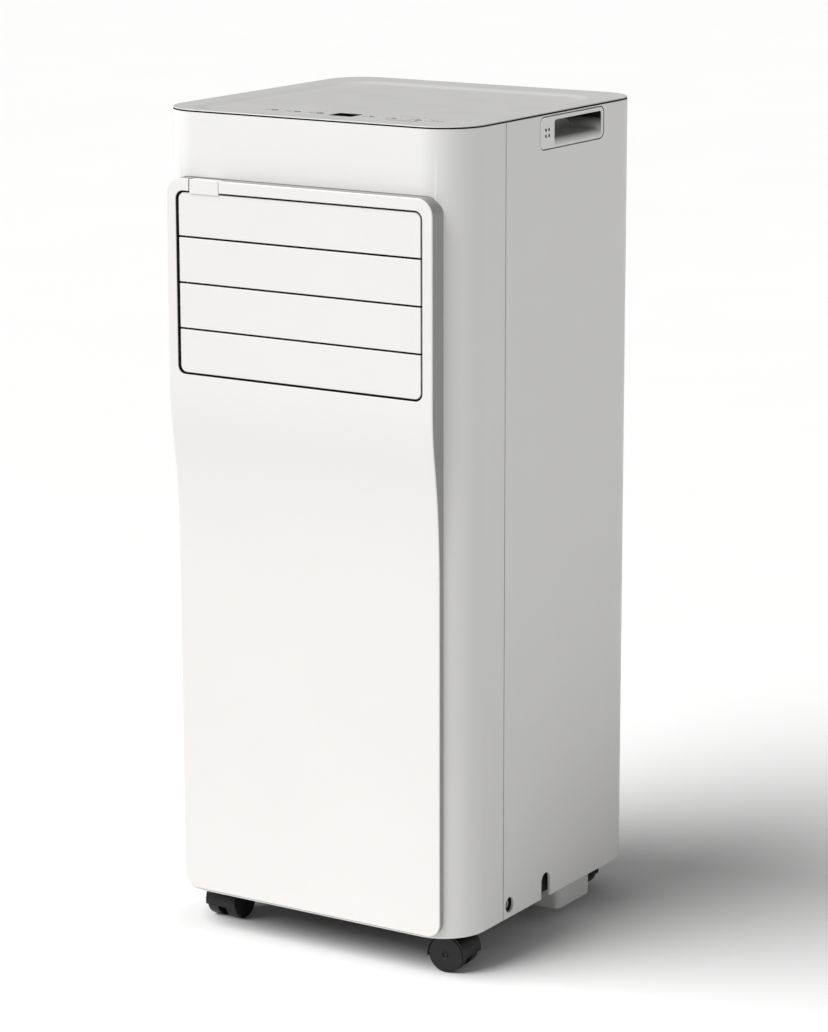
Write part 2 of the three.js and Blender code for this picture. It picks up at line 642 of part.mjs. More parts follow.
function makeLowerBlower() {
  const { y, z, wheel, x0, x1 } = lowerFan;
  const wall = 2;
  const plenumY = rearY - 34;
  const outline = (inset, end) => {
    const spiral = scrollPoints(y, z, wheel + 5 - inset, wheel + 28 - inset, 30, -270);
    const [, topZEnd] = spiral[spiral.length - 1];
    const [, tongueZ] = spiral[0];
    return polygon([...spiral, [end, topZEnd], [end, tongueZ + inset * 1.5]]);
  };
  const plenumBox = (inset, back) => box(-66 + inset, 66 - inset, plenumY + inset, back,
    bottomZ + port.z - 66 + inset, bottomZ + port.z + 62 - inset);
  const mouthY = rearY - 16;
  let scroll = join(prism(outline(0, plenumY + 1), 'x', x0, x1), plenumBox(0, mouthY));
  scroll = cut(scroll, prism(outline(wall, plenumY + 5), 'x', x0 + wall, x1 - wall),
    plenumBox(wall, mouthY + 10), rod('x', y, z, x0 - 10, x0 + 10, 36, 28),
    rod('x', y, z, x1 - 10, x1 + 10, 7, 16));
  place('lower_scroll', scroll, finish.foam());

  place('lower_motor', join(rod('x', y, z, x1 + 2.5, x1 + 40, 38, 24),
    rod('x', y, z, x0 + 25, x1 + 5, 4, 12)), finish.motor());
  const blower = bladedWheel(wheel, -(x1 - 5), -(x0 + 6));
  place('lower_blower_wheel', blower.rotate([0, 0, 90]).translate([0, y, z]), finish.duct());
}

// The duct turns the blower's rising air forward, behind a guard of upright bars.
function makeOutletDuct() {
  const half = outlet.halfWidth + 4;
  const front = shellInnerFrontY + gap;
  const [low, high] = [ductFloorZ, outletHigh + 5.5];
  const section = (inset, mouth) => polygon([[mouth, low + inset], [-33 - inset, low + inset],
    [-33 - inset, low + 64], [-80 - inset, high - inset], [mouth, high - inset]]);
  const wall = 2;
  let duct = cut(prism(section(0, front), 'x', -half, half),
    prism(section(wall, front - 5), 'x', -half + wall, half - wall));
  duct = cut(duct, box(27, 85, upperFan.y0 + 2, upperFan.y1 - 2, low - 5, low + 5));
  for (let x = -100; x <= 100; x += 20) {
    duct = join(duct, box(x - 1, x + 1, front + 18, front + 21, low + 1, high - 1));
  }
  place('outlet_duct', duct, finish.duct());
}

function makePartition() {
  const [front, riser, rear] = [shellInnerFrontY + 3, -31, rearY - 16.5];
  const [lowPlate, highPlate] = [284, 385.5];
  const sheet = 2.5;
  const section = polygon([[front, lowPlate], [riser, lowPlate], [riser, highPlate], [rear, highPlate],
    [rear, highPlate + 12], [rear - sheet, highPlate + 12], [rear - sheet, highPlate + sheet],
    [riser - sheet, highPlate + sheet], [riser - sheet, lowPlate + sheet], [front, lowPlate + sheet]]);
  const half = sideX - 7;
  const corner = bodyBlock(panInset, 0, FAR * 2);
  let tray = prism(section, 'x', -half, half).intersect(corner);
  for (const side of [-1, 1]) {
    const edge = [side * 127, side * 150].sort((a, b) => a - b);
    tray = cut(tray, box(...edge, 82, 128, highPlate - 5, highPlate + 5));
  }
  place('partition_tray', tray, finish.foam());
}

// ---------------------------------------------------------------- refrigeration circuit

const evaporator = { x: 118, y0: 110, y1: 136, z0: 388.5, z1: 640 };
const condenser = { x: 118, y0: 96, y1: 119, z0: bottomZ + 6, z1: 228 };

// A fin block with a grooved face and hairpin bends at its left end.
function coilBlock({ x, y0, y1, z0, z1 }) {
  let block = box(-x, x, y0, y1, z0, z1);
  const grooves = 6;
  for (let i = 1; i < grooves; i += 1) {
    const at = -x + (2 * x * i) / grooves;
    block = cut(block, box(at - 0.6, at + 0.6, y0 - 1, y0 + 2, z0 - 1, z1 + 1));
  }
  const bends = 5;
  const pitch = (z1 - z0) / bends;
  const middle = (y0 + y1) / 2;
  for (let i = 0; i < bends; i += 1) {
    const z = z0 + pitch * (i + 0.5);
    const end = 2 - x;
    const loop = [[end, middle, z - 9], [end - 7, middle, z - 8], [end - 9.5, middle, z],
      [end - 7, middle, z + 8], [end, middle, z + 9]];
    block = join(block, pipe(loop, 3.2, 6));
  }
  return block;
}

function makeRefrigerationCircuit() {
  place('evaporator_coil', coilBlock(evaporator), finish.coil());
  place('condenser_coil', coilBlock(condenser), finish.coil());

  const can = { x: -86, y: -50, radius: 50, z0: 66, z1: 258 };
  const profile = [[0, can.z0], [40, can.z0], [can.radius, can.z0 + 12], [can.radius, can.z1 - 18],
    [38, can.z1 - 4], [0, can.z1]];
  const points = profile.map(([radius, z]) => new THREE.Vector2(radius, z));
  const shellCan = solid(new THREE.LatheGeometry(points, 20).rotateX(Math.PI / 2)
    .translate(can.x, can.y, 0));
  const bottle = { x: -22, y: -92, radius: 17, z0: 100, z1: 226 };
  let compressor = join(shellCan,
    rod('z', bottle.x, bottle.y, bottle.z0, bottle.z1, bottle.radius, 12),
    box(can.x + 30, bottle.x, bottle.y + 4, bottle.y + 12, 150, 162),
    rod('z', can.x, can.y, can.z0 - 5, can.z0 + 2, 44, 16));
  const feet = 3;
  for (let i = 0; i < feet; i += 1) {
    const angle = (2 * Math.PI * i) / feet + 0.4;
    const [x, y] = [can.x + 36 * Math.cos(angle), can.y + 36 * Math.sin(angle)];
    compressor = join(compressor, rod('z', x, y, panFloor.high + gap, can.z0, 8, 8));
  }
  place('compressor', compressor, finish.compressor());

  const discharge = [[can.x, can.y, can.z1 + 0.5], [can.x, can.y, can.z1 + 6], [-92, -38, 274],
    [-112, 0, 268], [-131, 60, 245], [-133, 95, 238], [-131, 107.5, 228]];
  place('discharge_pipe', pipe(discharge, 4, 18), finish.copper());
  const suction = [[bottle.x, bottle.y, bottle.z1 + 0.5], [bottle.x, bottle.y, bottle.z1 + 12],
    [-30, -98, 262], [-60, -112, 272], [-110, -106, 272], [-132, -60, 270], [-134, 40, 300],
    [-134, 96, 372], [-134, 112, 404], [-134, 122, 414]];
  place('suction_pipe', pipe(suction, 4.5, 28), finish.copper());
  const liquid = [[134, 108, 62], [134, 108, 120], [134, 98, 240], [134, 100, 330], [134, 106, 400],
    [134, 122, 420]];
  place('liquid_pipe', pipe(liquid, 3, 16), finish.copper());
}

function makeSplashWheel() {
  const [x, z] = [92, 52];
  const bracket = join(box(x - 16, x + 16, 14, sump.y0 - 1, panFloor.high + gap, 42),
    box(x - 16, x + 16, sump.y0 - 4, sump.y0 - 1, panFloor.high + gap, 76));
  place('splash_motor', join(bracket, rod('y', x, z, sump.y0 - 2, 56, 12, 18),
    rod('y', x, z, 50, 68, 2, 10)), finish.motor());
  let wheel = join(rod('y', x, z, 60, 62, 24, 20), rod('y', x, z, 59, 67, 6, 10));
  for (let i = 0; i < 8; i += 1) {
    const paddle = new THREE.BoxGeometry(10, 6, 1.6);
    paddle.translate(19.5, 64, 0).rotateY((Math.PI * i) / 4).translate(x, 0, z);
    wheel = join(wheel, solid(paddle));
  }
  place('splash_wheel', cut(wheel, rod('y', x, z, 50, 80, 2 + gap, 10)), finish.duct());
}

function makeElectrics() {
  const case_ = cut(box(86, 128, -108, -38, 150, 270), box(88, 126, -106, -40, 152, 275));
  place('electrical_box', case_, finish.duct());
  place('run_capacitor', rod('z', 62, -84, 160, 236, 17, 20), finish.motor());
}

// ---------------------------------------------------------------- assembly

makeFrontShell();
makeRearShell();
makeFrontPanel();
for (let i = 0; i < louver.count; i += 1) makeLouver(i);
makeLouverLink();
makeTopCover();
makeControls();
makeHandle('handle_right', 1);
makeHandle('handle_left', -1);
makeExhaustCollar();
makeRearGrilles();
makePlugsAndGland();
makeBasePan();
makeSideScrews();
for (const [corner, spot] of Object.entries(casterSpots)) makeCaster(corner, spot);
makeOutletDuct();
makeUpperBlower();
makeLowerBlower();
makePartition();
makeRefrigerationCircuit();
makeSplashWheel();
makeElectrics();

export default unit;
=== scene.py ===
# A compact portable air conditioner: its looks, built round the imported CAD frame.
# Shapes are drawn in millimetres in the CAD's own frame (+X right side, -Y front, +Z up) and
# turned into metres when a piece is finished.

import json
from math import asin, cos, degrees, pi, radians, sin, sqrt

import bmesh
import bpy
from mathutils import Matrix, Vector


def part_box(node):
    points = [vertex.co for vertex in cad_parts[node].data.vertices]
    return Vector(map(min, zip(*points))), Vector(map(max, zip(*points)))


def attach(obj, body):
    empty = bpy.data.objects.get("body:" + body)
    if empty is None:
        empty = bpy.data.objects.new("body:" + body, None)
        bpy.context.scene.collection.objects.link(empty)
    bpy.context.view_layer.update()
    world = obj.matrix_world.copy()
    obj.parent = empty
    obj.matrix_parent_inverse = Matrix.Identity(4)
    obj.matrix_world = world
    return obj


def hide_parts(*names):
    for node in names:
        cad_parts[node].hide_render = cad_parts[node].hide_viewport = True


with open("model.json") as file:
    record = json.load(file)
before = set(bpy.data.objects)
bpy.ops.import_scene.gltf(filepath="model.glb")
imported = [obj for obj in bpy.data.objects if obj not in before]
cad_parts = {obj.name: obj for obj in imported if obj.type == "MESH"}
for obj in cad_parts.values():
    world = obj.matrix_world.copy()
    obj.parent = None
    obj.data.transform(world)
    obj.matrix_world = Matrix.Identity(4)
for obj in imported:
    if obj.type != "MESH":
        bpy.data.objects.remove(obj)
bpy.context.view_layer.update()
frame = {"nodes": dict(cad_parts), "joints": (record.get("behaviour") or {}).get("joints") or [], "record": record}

MM = 0.001
CABINET = "cabinet"
RIGHT_ANGLE = pi / 2


# ---------------- camera, light and floor

CAMERA_AZIMUTH = 32.41          # degrees round from the front, towards the unit's right side
CAMERA_ELEVATION = 12.99
CAMERA_ROLL = -0.11
CAMERA_DISTANCE = 2.9971        # metres, from the target
CAMERA_TARGET_RIGHT = 0.01647
CAMERA_TARGET_DEPTH = -0.0131
CAMERA_TARGET_HEIGHT = 0.3473
CAMERA_LENS = 124.15            # mm, on a sensor of this width:
SENSOR_WIDTH = 36
VIEW_LIMIT = 200                # metres
SKY_STRENGTH = 0.2
KEY_LIGHT = (-0.44, -0.53, 0.725), 3.65, 50     # where it comes from, strength, spread in degrees
FILL_LIGHT = (0.92, 0.25, 0.3), 0.25, 60
FLOOR_REACH = 40                # metres, from the middle to each edge
FLOOR_COLOUR = (0.96, 0.96, 0.955)


def make_camera():
    a, e = radians(CAMERA_AZIMUTH), radians(CAMERA_ELEVATION)
    right = Vector((cos(a), sin(a), 0))
    back = Vector((sin(a) * cos(e), -cos(a) * cos(e), sin(e)))
    up = back.cross(right)
    target = right * CAMERA_TARGET_RIGHT + Vector((0, CAMERA_TARGET_DEPTH, CAMERA_TARGET_HEIGHT))
    camera = bpy.data.cameras.new("camera")
    camera.lens = CAMERA_LENS
    camera.sensor_width = SENSOR_WIDTH
    camera.clip_end = VIEW_LIMIT
    holder = bpy.data.objects.new("camera", camera)
    level = Matrix((right, up, back)).transposed()
    roll = Matrix.Rotation(radians(CAMERA_ROLL), 3, "Z")
    holder.matrix_world = Matrix.Translation(target + back * CAMERA_DISTANCE) @ (level @ roll).to_4x4()
    bpy.context.scene.collection.objects.link(holder)
    bpy.context.scene.camera = holder


def sun_light(name, towards, strength, spread_degrees):
    """A broad, even light whose rays come from a direction."""
    light = bpy.data.lights.new(name, "SUN")
    light.energy = strength
    light.angle = radians(spread_degrees)
    holder = bpy.data.objects.new(name, light)
    holder.rotation_euler = Vector(towards).to_track_quat("Z", "Y").to_euler()
    bpy.context.scene.collection.objects.link(holder)


def make_studio():
    scene = bpy.context.scene
    scene.view_settings.view_transform = "Standard"
    world = bpy.data.worlds.new("studio")
    world.use_nodes = True
    sky = world.node_tree.nodes["Background"]
    sky.inputs["Color"].default_value = (1, 1, 1, 1)
    sky.inputs["Strength"].default_value = SKY_STRENGTH
    scene.world = world
    sun_light("key", *KEY_LIGHT)
    sun_light("fill", *FILL_LIGHT)

    bm = bmesh.new()
    square = ((-1, -1), (1, -1), (1, 1), (-1, 1))
    bm.faces.new([bm.verts.new((x * FLOOR_REACH, y * FLOOR_REACH, 0)) for x, y in square])
    mesh = bpy.data.meshes.new("floor")
    bm.to_mesh(mesh)
    bm.free()
    floor = bpy.data.objects.new("floor", mesh)
    scene.collection.objects.link(floor)
    mesh.materials.append(surface("studio_floor", FLOOR_COLOUR, 0.9, mottle=0.01, mottle_size=0.5))


# ---------------- materials

GRAIN_STRENGTH = 0.6
NOISE_RANGE = (0.3, 0.7)        # the part of a noise's values that a change is spread over
BEAD_RANGE = (0.2, 0.75)


def node(tree, kind, inputs=None, **settings):
    made = tree.nodes.new("ShaderNode" + kind)
    for name, value in settings.items():
        setattr(made, name, value)
    for name, value in (inputs or {}).items():
        if isinstance(value, bpy.types.NodeSocket):
            tree.links.new(value, made.inputs[name])
        else:
            made.inputs[name].default_value = value
    return made


def object_place(tree):
    """Where a point is, fixed to its piece, in metres."""
    return node(tree, "TexCoord").outputs["Object"]


def noise(tree, size, detail=2.0, stretch=(1, 1, 1)):
    """Soft noise whose blotches are about size metres across."""
    stretched = node(tree, "Mapping", {"Vector": object_place(tree), "Scale": stretch})
    made = node(tree, "TexNoise", {"Vector": stretched.outputs["Vector"], "Scale": 1 / size,
                                   "Detail": detail})
    return made.outputs["Fac"]


def spread(tree, value, low, high, source=NOISE_RANGE):
    made = node(tree, "MapRange", {"Value": value, "From Min": source[0], "From Max": source[1],
                                   "To Min": low, "To Max": high})
    return made.outputs["Result"]


def tinted(tree, share, first, second):
    """A colour that goes from first to second as share goes from 0 to 1."""
    ramp = node(tree, "ValToRGB", {"Fac": share})
    ramp.color_ramp.elements[0].color = (*first, 1)
    ramp.color_ramp.elements[1].color = (*second, 1)
    return ramp.outputs["Color"]


def surface(name, colour, roughness, metallic=0.0, mottle=0.03, mottle_size=0.08, gloss_change=0.04,
            grain=0.0006, grain_height=0.00002, stretch=(1, 1, 1), specular=0.5, second=None,
            pattern=None, pattern_height=0.0):
    """A finish with cloudy colour, uneven gloss and a fine moulded or machined grain."""
    made = bpy.data.materials.new(name)
    made.use_nodes = True
    tree = made.node_tree
    shader = tree.nodes["Principled BSDF"]
    shader.inputs["Metallic"].default_value = metallic
    shader.inputs["Specular IOR Level"].default_value = specular
    darker = second or tuple(c * (1 - mottle) for c in colour)
    share = pattern(tree) if pattern else spread(tree, noise(tree, mottle_size), 0, 1)
    tree.links.new(tinted(tree, share, darker, colour), shader.inputs["Base Color"])
    clouds = noise(tree, mottle_size / 3, 4)
    uneven = spread(tree, clouds, roughness - gloss_change, roughness + gloss_change)
    tree.links.new(uneven, shader.inputs["Roughness"])
    fine = node(tree, "Bump", {"Height": noise(tree, grain, 3, stretch), "Strength": GRAIN_STRENGTH,
                               "Distance": grain_height})
    normal = fine.outputs["Normal"]
    if pattern_height:
        coarse = node(tree, "Bump", {"Height": pattern(tree), "Strength": 1.0,
                                     "Distance": pattern_height, "Normal": normal})
        normal = coarse.outputs["Normal"]
    tree.links.new(normal, shader.inputs["Normal"])
    return made


def bands(axis, size):
    """Stripes across an axis, size metres apart."""
    scale = 2 * pi / 20 / size             # the wave texture has 20 / (2 pi) bands a metre at 1

    def pattern(tree):
        wave = node(tree, "TexWave", {"Vector": object_place(tree), "Scale": scale, "Distortion": 0.0},
                    bands_direction=axis)
        return wave.outputs["Fac"]
    return pattern


def woven(size):
    """A square mesh of threads that run along X and Z."""
    def pattern(tree):
        both = node(tree, "Math", {0: bands("X", size)(tree), 1: bands("Z", size)(tree)},
                    operation="MAXIMUM")
        return both.outputs["Value"]
    return pattern


def beads(size):
    """Expanded foam beads."""
    def pattern(tree):
        cells = node(tree, "TexVoronoi", {"Vector": object_place(tree), "Scale": 1 / size})
        return spread(tree, cells.outputs["Distance"], 1, 0, BEAD_RANGE)
    return pattern


def tracks(size):
    """Copper tracks under a circuit board's lacquer."""
    def pattern(tree):
        tiles = node(tree, "TexBrick", {"Vector": object_place(tree), "Scale": 1 / size,
                                        "Mortar Size": 0.08})
        return tiles.outputs["Fac"]
    return pattern


def rising(low, high):
    """Changes with height, between two heights in metres."""
    def pattern(tree):
        height = node(tree, "SeparateXYZ", {"Vector": object_place(tree)}).outputs["Z"]
        return spread(tree, height, 0, 1, (low, high))
    return pattern


SHADE_START, SHADE_FULL = 8, 17       # above the hand hold's foot: where the painted shade in its pocket starts, and where it is full


# painted shade for the hand hold's pocket: dark towards the top, light towards the foot, by height
def painted_pocket_shade():
    low, _ = corners("handle_right")
    return rising((low[2] + SHADE_START) * MM, (low[2] + SHADE_FULL) * MM)


def make_finishes():
    """One finish for each material slot of the record, and three more (a dark grey for the panel's outer walls
    that is partly painted shade, painted shade for the hand holds' pockets, and print): colour, roughness, rest.
    """
    handle, steel = (0.78, 0.775, 0.765), (0.56, 0.57, 0.58)
    table = {
        "panel_white": ((0.735, 0.725, 0.712), 0.34, dict(
            mottle=0.012, mottle_size=0.12, grain=0.0004, grain_height=0.000006)),
        "shell_white": ((0.74, 0.735, 0.727), 0.42, dict(
            mottle=0.015, mottle_size=0.15, grain=0.0005, grain_height=0.000014)),
        "cover_grey": ((0.635, 0.63, 0.622), 0.40, dict(
            mottle=0.015, mottle_size=0.1, grain=0.0005, grain_height=0.000016)),
        "window_black": ((0.004, 0.004, 0.0045), 0.3, dict(
            mottle=0.2, gloss_change=0.02, grain_height=0.000001, specular=0.0)),
        "handle_grey": (handle, 0.45, dict(mottle=0.015, grain_height=0.000018)),
        "grille_grey": ((0.76, 0.755, 0.745), 0.46, dict(mottle=0.02, grain_height=0.000018)),
        "tray_grey": ((0.58, 0.58, 0.575), 0.5, dict(mottle=0.04, grain_height=0.00003)),
        "caster_black": ((0.008, 0.008, 0.0085), 0.42, dict(
            mottle=0.2, mottle_size=0.02, gloss_change=0.07, grain_height=0.00003, specular=0.35)),
        # duct_black also paints shade onto the outlet's inner walls and the base pan
        "duct_black": ((0.018, 0.018, 0.02), 0.6, dict(mottle=0.2, grain_height=0.00003)),
        "blower_foam": ((0.78, 0.76, 0.70), 0.85, dict(
            second=(0.62, 0.60, 0.55), pattern=beads(0.004), pattern_height=0.0003)),
        "filter_mesh": ((0.10, 0.11, 0.12), 0.75, dict(
            second=(0.012, 0.013, 0.015), pattern=woven(0.0016), pattern_height=0.0003)),
        # rubber_black also paints shade into seams, gaps and the grip dots
        "rubber_black": ((0.03, 0.03, 0.031), 0.72, dict(mottle=0.15, grain_height=0.00004)),
        "board_green": ((0.03, 0.19, 0.07), 0.35, dict(
            second=(0.02, 0.12, 0.05), pattern=tracks(0.006), pattern_height=0.00008)),
        "motor_steel": (steel, 0.38, dict(
            metallic=1.0, mottle=0.12, mottle_size=0.03, gloss_change=0.1, grain=0.0008,
            stretch=(1, 8, 1))),
        "compressor_black": ((0.016, 0.017, 0.018), 0.38, dict(
            mottle=0.3, grain=0.002, grain_height=0.00012)),
        "coil_aluminium": ((0.74, 0.75, 0.76), 0.36, dict(
            metallic=1.0, second=(0.22, 0.23, 0.24), pattern=bands("X", 0.0018),
            pattern_height=0.0004)),
        "pipe_copper": ((0.78, 0.40, 0.24), 0.30, dict(
            metallic=1.0, mottle=0.45, mottle_size=0.02, gloss_change=0.12)),
        "screw_steel": ((0.48, 0.48, 0.49), 0.32, dict(
            metallic=1.0, mottle=0.15, mottle_size=0.004, gloss_change=0.08)),
        # dark grey for the panel's outer walls: partly grey trim, partly painted shade of the crease beside the
        # shell
        "edge_trim_and_shade": ((0.31, 0.31, 0.306), 0.5, dict(
            mottle=0.02, mottle_size=0.1, grain_height=0.00001)),
        # painted shade for the hand holds' pockets: black towards the top, the handle's grey lower down
        "pocket_painted_shade": ((0.012, 0.012, 0.012), 0.6, dict(
            second=handle, specular=0.2, pattern=painted_pocket_shade())),
        "print_grey": ((0.09, 0.09, 0.092), 0.55, dict(mottle=0.06, mottle_size=0.004)),
    }
    return {name: surface(name, colour, roughness, **rest)
            for name, (colour, roughness, rest) in table.items()}


# ---------------- outlines

SHARP = 0.02                    # the least corner radius, which keeps every outline's points apart


def corners(cad_node):
    """A CAD node's lowest and highest corner, in millimetres."""
    low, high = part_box(cad_node)
    return [c / MM for c in low], [c / MM for c in high]


def middle_of(cad_node):
    """Where a node's middle is, seen from behind: X and Z."""
    low, high = corners(cad_node)
    return (low[0] + high[0]) / 2, (low[2] + high[2]) / 2


def arc(u, v, radius, start, end, steps):
    """Points on an arc, from one angle to another in degrees, both ends included."""
    turn = [radians(start + (end - start) * i / steps) for i in range(steps + 1)]
    return [(u + radius * cos(t), v + radius * sin(t)) for t in turn]


def rounded_rect(u0, v0, u1, v1, radii, steps=6):
    """An outline as a function of d, by which it shrinks. Radii run anticlockwise from lower left."""
    radii = radii if isinstance(radii, (list, tuple)) else [radii] * 4

    def outline(d=0.0):
        a, b, c, e = (max(r - d, SHARP) for r in radii)
        left, low, right, high = u0 + d, v0 + d, u1 - d, v1 - d
        lower = arc(left + a, low + a, a, 180, 270, steps) + arc(right - b, low + b, b, 270, 360, steps)
        upper = arc(right - c, high - c, c, 0, 90, steps) + arc(left + e, high - e, e, 90, 180, steps)
        return lower + upper
    return outline


def footprint(axis, low, high, radii, steps=6, grow=0.0):
    """The outline of a box seen along an axis, or one that much larger all round."""
    u, v = {"x": (1, 2), "y": (0, 2), "z": (0, 1)}[axis]
    return rounded_rect(low[u] - grow, low[v] - grow, high[u] + grow, high[v] + grow, radii, steps)


def disc(u, v, radius, steps=32):
    """A round outline as a function of d, by which it shrinks."""
    return lambda d=0.0: arc(u, v, radius - d, 0, 360, steps)[:-1]


def at(axis, outline, w):
    """An outline's points at place w on an axis; u and v are the other two of X, Y and Z, in order."""
    if axis == "x":
        return [(w, u, v) for u, v in outline]
    if axis == "y":
        return [(u, w, v) for u, v in outline]
    return [(u, v, w) for u, v in outline]


# ---------------- solids

SMOOTH_BELOW = 32               # degrees between two faces; an edge sharper than this stays sharp


def as_vertices(bm, rings):
    return [[bm.verts.new(p) for p in ring] for ring in rings]


def skin(bm, rings):
    """Closes the space from each ring of vertices to the next."""
    for ring, after in zip(rings, rings[1:]):
        for i in range(len(ring)):
            bm.faces.new((ring[i - 1], ring[i], after[i], after[i - 1]))


def loft(bm, rings, closed=False):
    """Skins through rings of points. The ends are capped, unless the rings close on themselves."""
    made = as_vertices(bm, rings)
    following = made[1:] + (made[:1] if closed else [])
    for ring, after in zip(made, following):
        for i, vert in enumerate(ring):
            j = (i + 1) % len(ring)
            bm.faces.new((vert, ring[j], after[j], after[i]))
    if not closed:
        bm.faces.new(made[0][::-1])
        bm.faces.new(made[-1])
    return bm


def rounding(radius, steps):
    """A rounded edge, as pairs: how far the outline has shrunk, and how far back the place is."""
    turns = [RIGHT_ANGLE * i / steps for i in range(steps + 1)] if radius else [RIGHT_ANGLE]
    return [(radius * (1 - sin(t)), radius * (1 - cos(t))) for t in turns]


def prism(bm, axis, outline, start, end, start_round=0.0, end_round=0.0, steps=3):
    """An outline drawn out along an axis, with either end's edge rounded."""
    way = 1 if end > start else -1
    rings = [at(axis, outline(d), start + way * back) for d, back in rounding(start_round, steps)]
    rings += [at(axis, outline(d), end - way * back) for d, back in rounding(end_round, steps)[::-1]]
    return loft(bm, rings)


def block(bm, x0, x1, y0, y1, z0, z1, edge=0.0, radius=0.0):
    """A box with rounded upright corners and rounded top and bottom edges."""
    return prism(bm, "z", rounded_rect(x0, y0, x1, y1, radius, 4), z0, z1, edge, edge)


def ring_turned(bm, axis, u, v, profile, steps=48):
    """A ring turned about an axis, from (radius, place) points that close on themselves."""
    return loft(bm, [at(axis, disc(u, v, r, steps)(), w) for r, w in profile], closed=True)


def knob(bm, axis, u, v, profile, steps=32):
    """A solid turned about an axis, capped flat at both ends of its (radius, place) profile."""
    return loft(bm, [at(axis, disc(u, v, r, steps)(), w) for r, w in profile])


def fill(bm, rings, axis):
    """Closes the flat space between an outer ring of vertices and the rings of its holes."""
    edges = [bm.edges.get((ring[i - 1], ring[i])) for ring in rings for i in range(len(ring))]
    normal = {"x": (1, 0, 0), "y": (0, 1, 0), "z": (0, 0, 1)}[axis]
    made = bmesh.ops.triangle_fill(bm, edges=edges, use_beauty=True, normal=normal)
    border = set(edges)
    inner = [g for g in made["geom"] if isinstance(g, bmesh.types.BMEdge) and g not in border]
    bmesh.ops.dissolve_limit(bm, angle_limit=0.001, verts=[], edges=inner)


def plate(bm, axis, outer, holes, back, front, edge=0.6, hole_edge=0.4, steps=3):
    """A flat plate pierced by holes, with its front edges rounded."""
    way = 1 if front > back else -1
    front_rings, back_rings = [], []
    for outline, sign, radius in [(outer, 1, edge)] + [(hole, -1, hole_edge) for hole in holes]:
        levels = [at(axis, outline(0.0), back)]
        for d, set_back in rounding(radius, steps)[::-1]:
            levels.append(at(axis, outline(sign * d), front - way * set_back))
        made = as_vertices(bm, levels)
        skin(bm, made)
        back_rings.append(made[0])
        front_rings.append(made[-1])
    fill(bm, front_rings, axis)
    fill(bm, back_rings, axis)
    return bm


def as_object(bm, name):
    bmesh.ops.recalc_face_normals(bm, faces=bm.faces)
    mesh = bpy.data.meshes.new(name)
    bm.to_mesh(mesh)
    bm.free()
    made = bpy.data.objects.new(name, mesh)
    bpy.context.scene.collection.objects.link(made)
    return made


def combine(bm, tool, operation="DIFFERENCE"):
    """One solid cut by, or joined to, another. Both are used up."""
    whole, part = as_object(bm, "whole"), as_object(tool, "part")
    boolean = whole.modifiers.new("boolean", "BOOLEAN")
    boolean.solver, boolean.operation, boolean.object = "EXACT", operation, part
    boolean.use_self = True
    bpy.context.view_layer.update()
    evaluated = whole.evaluated_get(bpy.context.evaluated_depsgraph_get())
    mesh = bpy.data.meshes.new_from_object(evaluated)
    result = bmesh.new()
    result.from_mesh(mesh)
    for used in (whole, part):
        bpy.data.meshes.remove(used.data)
    bpy.data.meshes.remove(mesh)
    bmesh.ops.remove_doubles(result, verts=result.verts, dist=1e-3)
    return result


def cut(bm, *shape):
    """A solid cut by one prism."""
    return combine(bm, prism(bmesh.new(), *shape))


def join(bm, *shape):
    """A solid joined to one prism."""
    return combine(bm, prism(bmesh.new(), *shape), "UNION")


def slice_at(bm, z):
    """Divides a solid's faces and edges at a height."""
    geometry = list(bm.verts) + list(bm.edges) + list(bm.faces)
    bmesh.ops.bisect_plane(bm, geom=geometry, plane_co=(0, 0, z), plane_no=(0, 0, 1), dist=1e-4)


def mirror_sides(bm):
    bmesh.ops.scale(bm, vec=(-1, 1, 1), verts=bm.verts)


def soften(bm, radius, steps, sharper_than, where):
    """Rounds the edges sharper than an angle whose middle passes the test."""
    bm.edges.ensure_lookup_table()
    sharp = [e for e in bm.edges if e.is_manifold and e.calc_face_angle(0) > radians(sharper_than)
             and where((e.verts[0].co + e.verts[1].co) / 2)]
    bmesh.ops.bevel(bm, geom=sharp, offset=radius, offset_type="OFFSET", segments=steps, profile=0.5,
                    affect="EDGES", clamp_overlap=True)


def finish_piece(name, bm, slot, body=CABINET, stands_for=(), finish=None):
    """Turns a solid drawn in millimetres into a piece that rides on a body."""
    bmesh.ops.dissolve_degenerate(bm, dist=1e-4, edges=bm.edges)
    bmesh.ops.scale(bm, vec=(MM, MM, MM), verts=bm.verts)
    made = as_object(bm, name)
    made.data.shade_smooth()
    made.data.set_sharp_from_angle(angle=radians(SMOOTH_BELOW))
    even = made.modifiers.new("even_normals", "WEIGHTED_NORMAL")
    even.keep_sharp = True
    made.data.materials.append(finishes[finish or slot])
    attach(made, body)
    if stands_for:
        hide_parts(*stands_for)
    return made


def finish_faces(made, slot, test):
    """Gives another finish to the faces that pass a test of their middle, in mm, and normal."""
    made.data.materials.append(finishes[slot])
    index = len(made.data.materials) - 1
    for face in made.data.polygons:
        if test(face.center / MM, face.normal):
            face.material_index = index


# ---------------- driving dimensions

